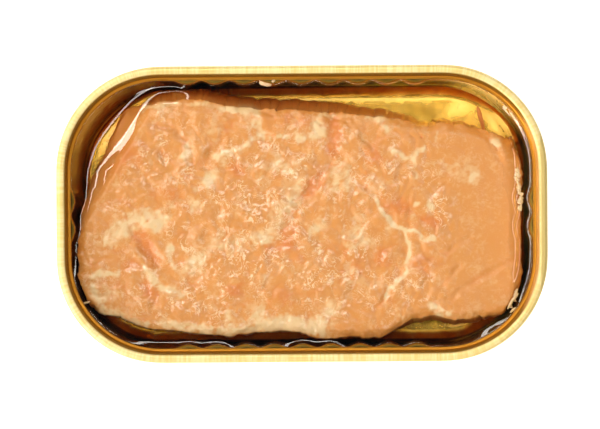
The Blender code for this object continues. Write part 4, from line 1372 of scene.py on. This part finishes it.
class SalmonCanSettings(bpy.types.PropertyGroup):
    """Colours, finishes and lamps of the can."""

    rim_color: color_property("Rim", "Pale gold of the rolled rim", (0.98, 0.82, 0.42))
    tray_color: color_property("Tray", "Gold lacquer inside the tray", (0.95, 0.66, 0.16))
    flesh_color: color_property("Flesh", "Plain cooked flesh", (0.665, 0.282, 0.070))
    deep_color: color_property("Folds", "Flesh in the folds", (0.655, 0.215, 0.045))
    fat_color: color_property("Fat", "Pale fat and curd", (0.78, 0.55, 0.30))
    oil_color: color_property("Oil", "What the oil lets through", (0.967, 0.78, 0.12))
    floor_color: color_property("Floor", "The floor under the can", (0.97, 0.97, 0.97))
    rim_metal: number_property("Rim Metal", "How metallic the rim's lacquer looks", 0.4, max=1.0)
    oil_density: number_property("Oil Density", "How fast the oil takes up light", 22.0)
    bend_slope: number_property("Oil Rise", "Slope of the oil where it climbs", 0.58)
    flesh_bump: number_property("Flesh Grain", "Depth of the flesh's fine grain", 0.22 * MM, unit="LENGTH")
    film_bump: number_property("Film Grain", "Depth of the ripples in the film of oil", 0.18 * MM,
                               unit="LENGTH")
    left_lamp: number_property("Left Lamp", "Brightness of the left lamp", 8.0)
    right_lamp: number_property("Right Lamp", "Brightness of the right lamp", 6.0)
    front_lamp: number_property("Front Lamp", "Brightness of the front lamp", 6.0)
    back_lamp: number_property("Back Lamp", "Brightness of the back lamp", 7.0)
    inside_lamp: number_property("Inside Lamps", "Brightness of the lamps that only the tray gets", 45.0)
    low_lamp: number_property("Low Lamp", "Brightness of the low lamp", 6.0)
    surround_low: number_property("Horizon", "Brightness of the surround low down", 0.8)
    surround_high: number_property("Overhead", "Brightness of the surround overhead", 0.03)


class SALMONCAN_OT_rim(bpy.types.Operator):
    """Build the rolled rim"""

    bl_idname = "salmon_can.rim"
    bl_label = "Rim"

    def execute(self, context):
        build_rim()
        return {"FINISHED"}


class SALMONCAN_OT_tray(bpy.types.Operator):
    """Build the ribbed tray"""

    bl_idname = "salmon_can.tray"
    bl_label = "Tray"

    def execute(self, context):
        build_tray()
        return {"FINISHED"}


class SALMONCAN_OT_fillet(bpy.types.Operator):
    """Build the salmon fillet"""

    bl_idname = "salmon_can.fillet"
    bl_label = "Fillet"

    def execute(self, context):
        build_fillet()
        return {"FINISHED"}


class SALMONCAN_OT_oil(bpy.types.Operator):
    """Pour the oil round the fillet"""

    bl_idname = "salmon_can.oil"
    bl_label = "Oil"

    def execute(self, context):
        build_oil()
        return {"FINISHED"}


class SALMONCAN_OT_crumbs(bpy.types.Operator):
    """Scatter the loose bits of fish"""

    bl_idname = "salmon_can.crumbs"
    bl_label = "Crumbs"

    def execute(self, context):
        build_crumbs()
        return {"FINISHED"}


class SALMONCAN_OT_stage(bpy.types.Operator):
    """Build the floor, the lamps and the camera"""

    bl_idname = "salmon_can.stage"
    bl_label = "Stage"

    def execute(self, context):
        build_stage()
        return {"FINISHED"}


OPERATORS = (SALMONCAN_OT_rim, SALMONCAN_OT_tray, SALMONCAN_OT_fillet, SALMONCAN_OT_oil,
             SALMONCAN_OT_crumbs, SALMONCAN_OT_stage)


class SALMONCAN_PT_panel(bpy.types.Panel):
    """Buttons and settings of the can"""

    bl_label = "Salmon Can"
    bl_idname = "SALMONCAN_PT_panel"
    bl_space_type = "VIEW_3D"
    bl_region_type = "UI"
    bl_category = "Salmon Can"

    def draw(self, context):
        for name in SalmonCanSettings.__annotations__:
            self.layout.prop(context.scene.salmon_can, name)
        for operator in OPERATORS:
            self.layout.operator(operator.bl_idname)


CLASSES = (SalmonCanSettings,) + OPERATORS + (SALMONCAN_PT_panel,)


def register():
    """Add the classes and the scene's settings to Blender."""
    for entry in CLASSES:
        bpy.utils.register_class(entry)
    bpy.types.Scene.salmon_can = bpy.props.PointerProperty(type=SalmonCanSettings)


def unregister():
    """Take the classes and the settings away again."""
    del bpy.types.Scene.salmon_can
    for entry in reversed(CLASSES):
        bpy.utils.unregister_class(entry)


def main():
    """Build everything in order."""
    register()
    bpy.ops.salmon_can.rim()
    bpy.ops.salmon_can.tray()
    bpy.ops.salmon_can.fillet()
    bpy.ops.salmon_can.oil()
    bpy.ops.salmon_can.crumbs()
    bpy.ops.salmon_can.stage()


if __name__ == "__main__":
    main()
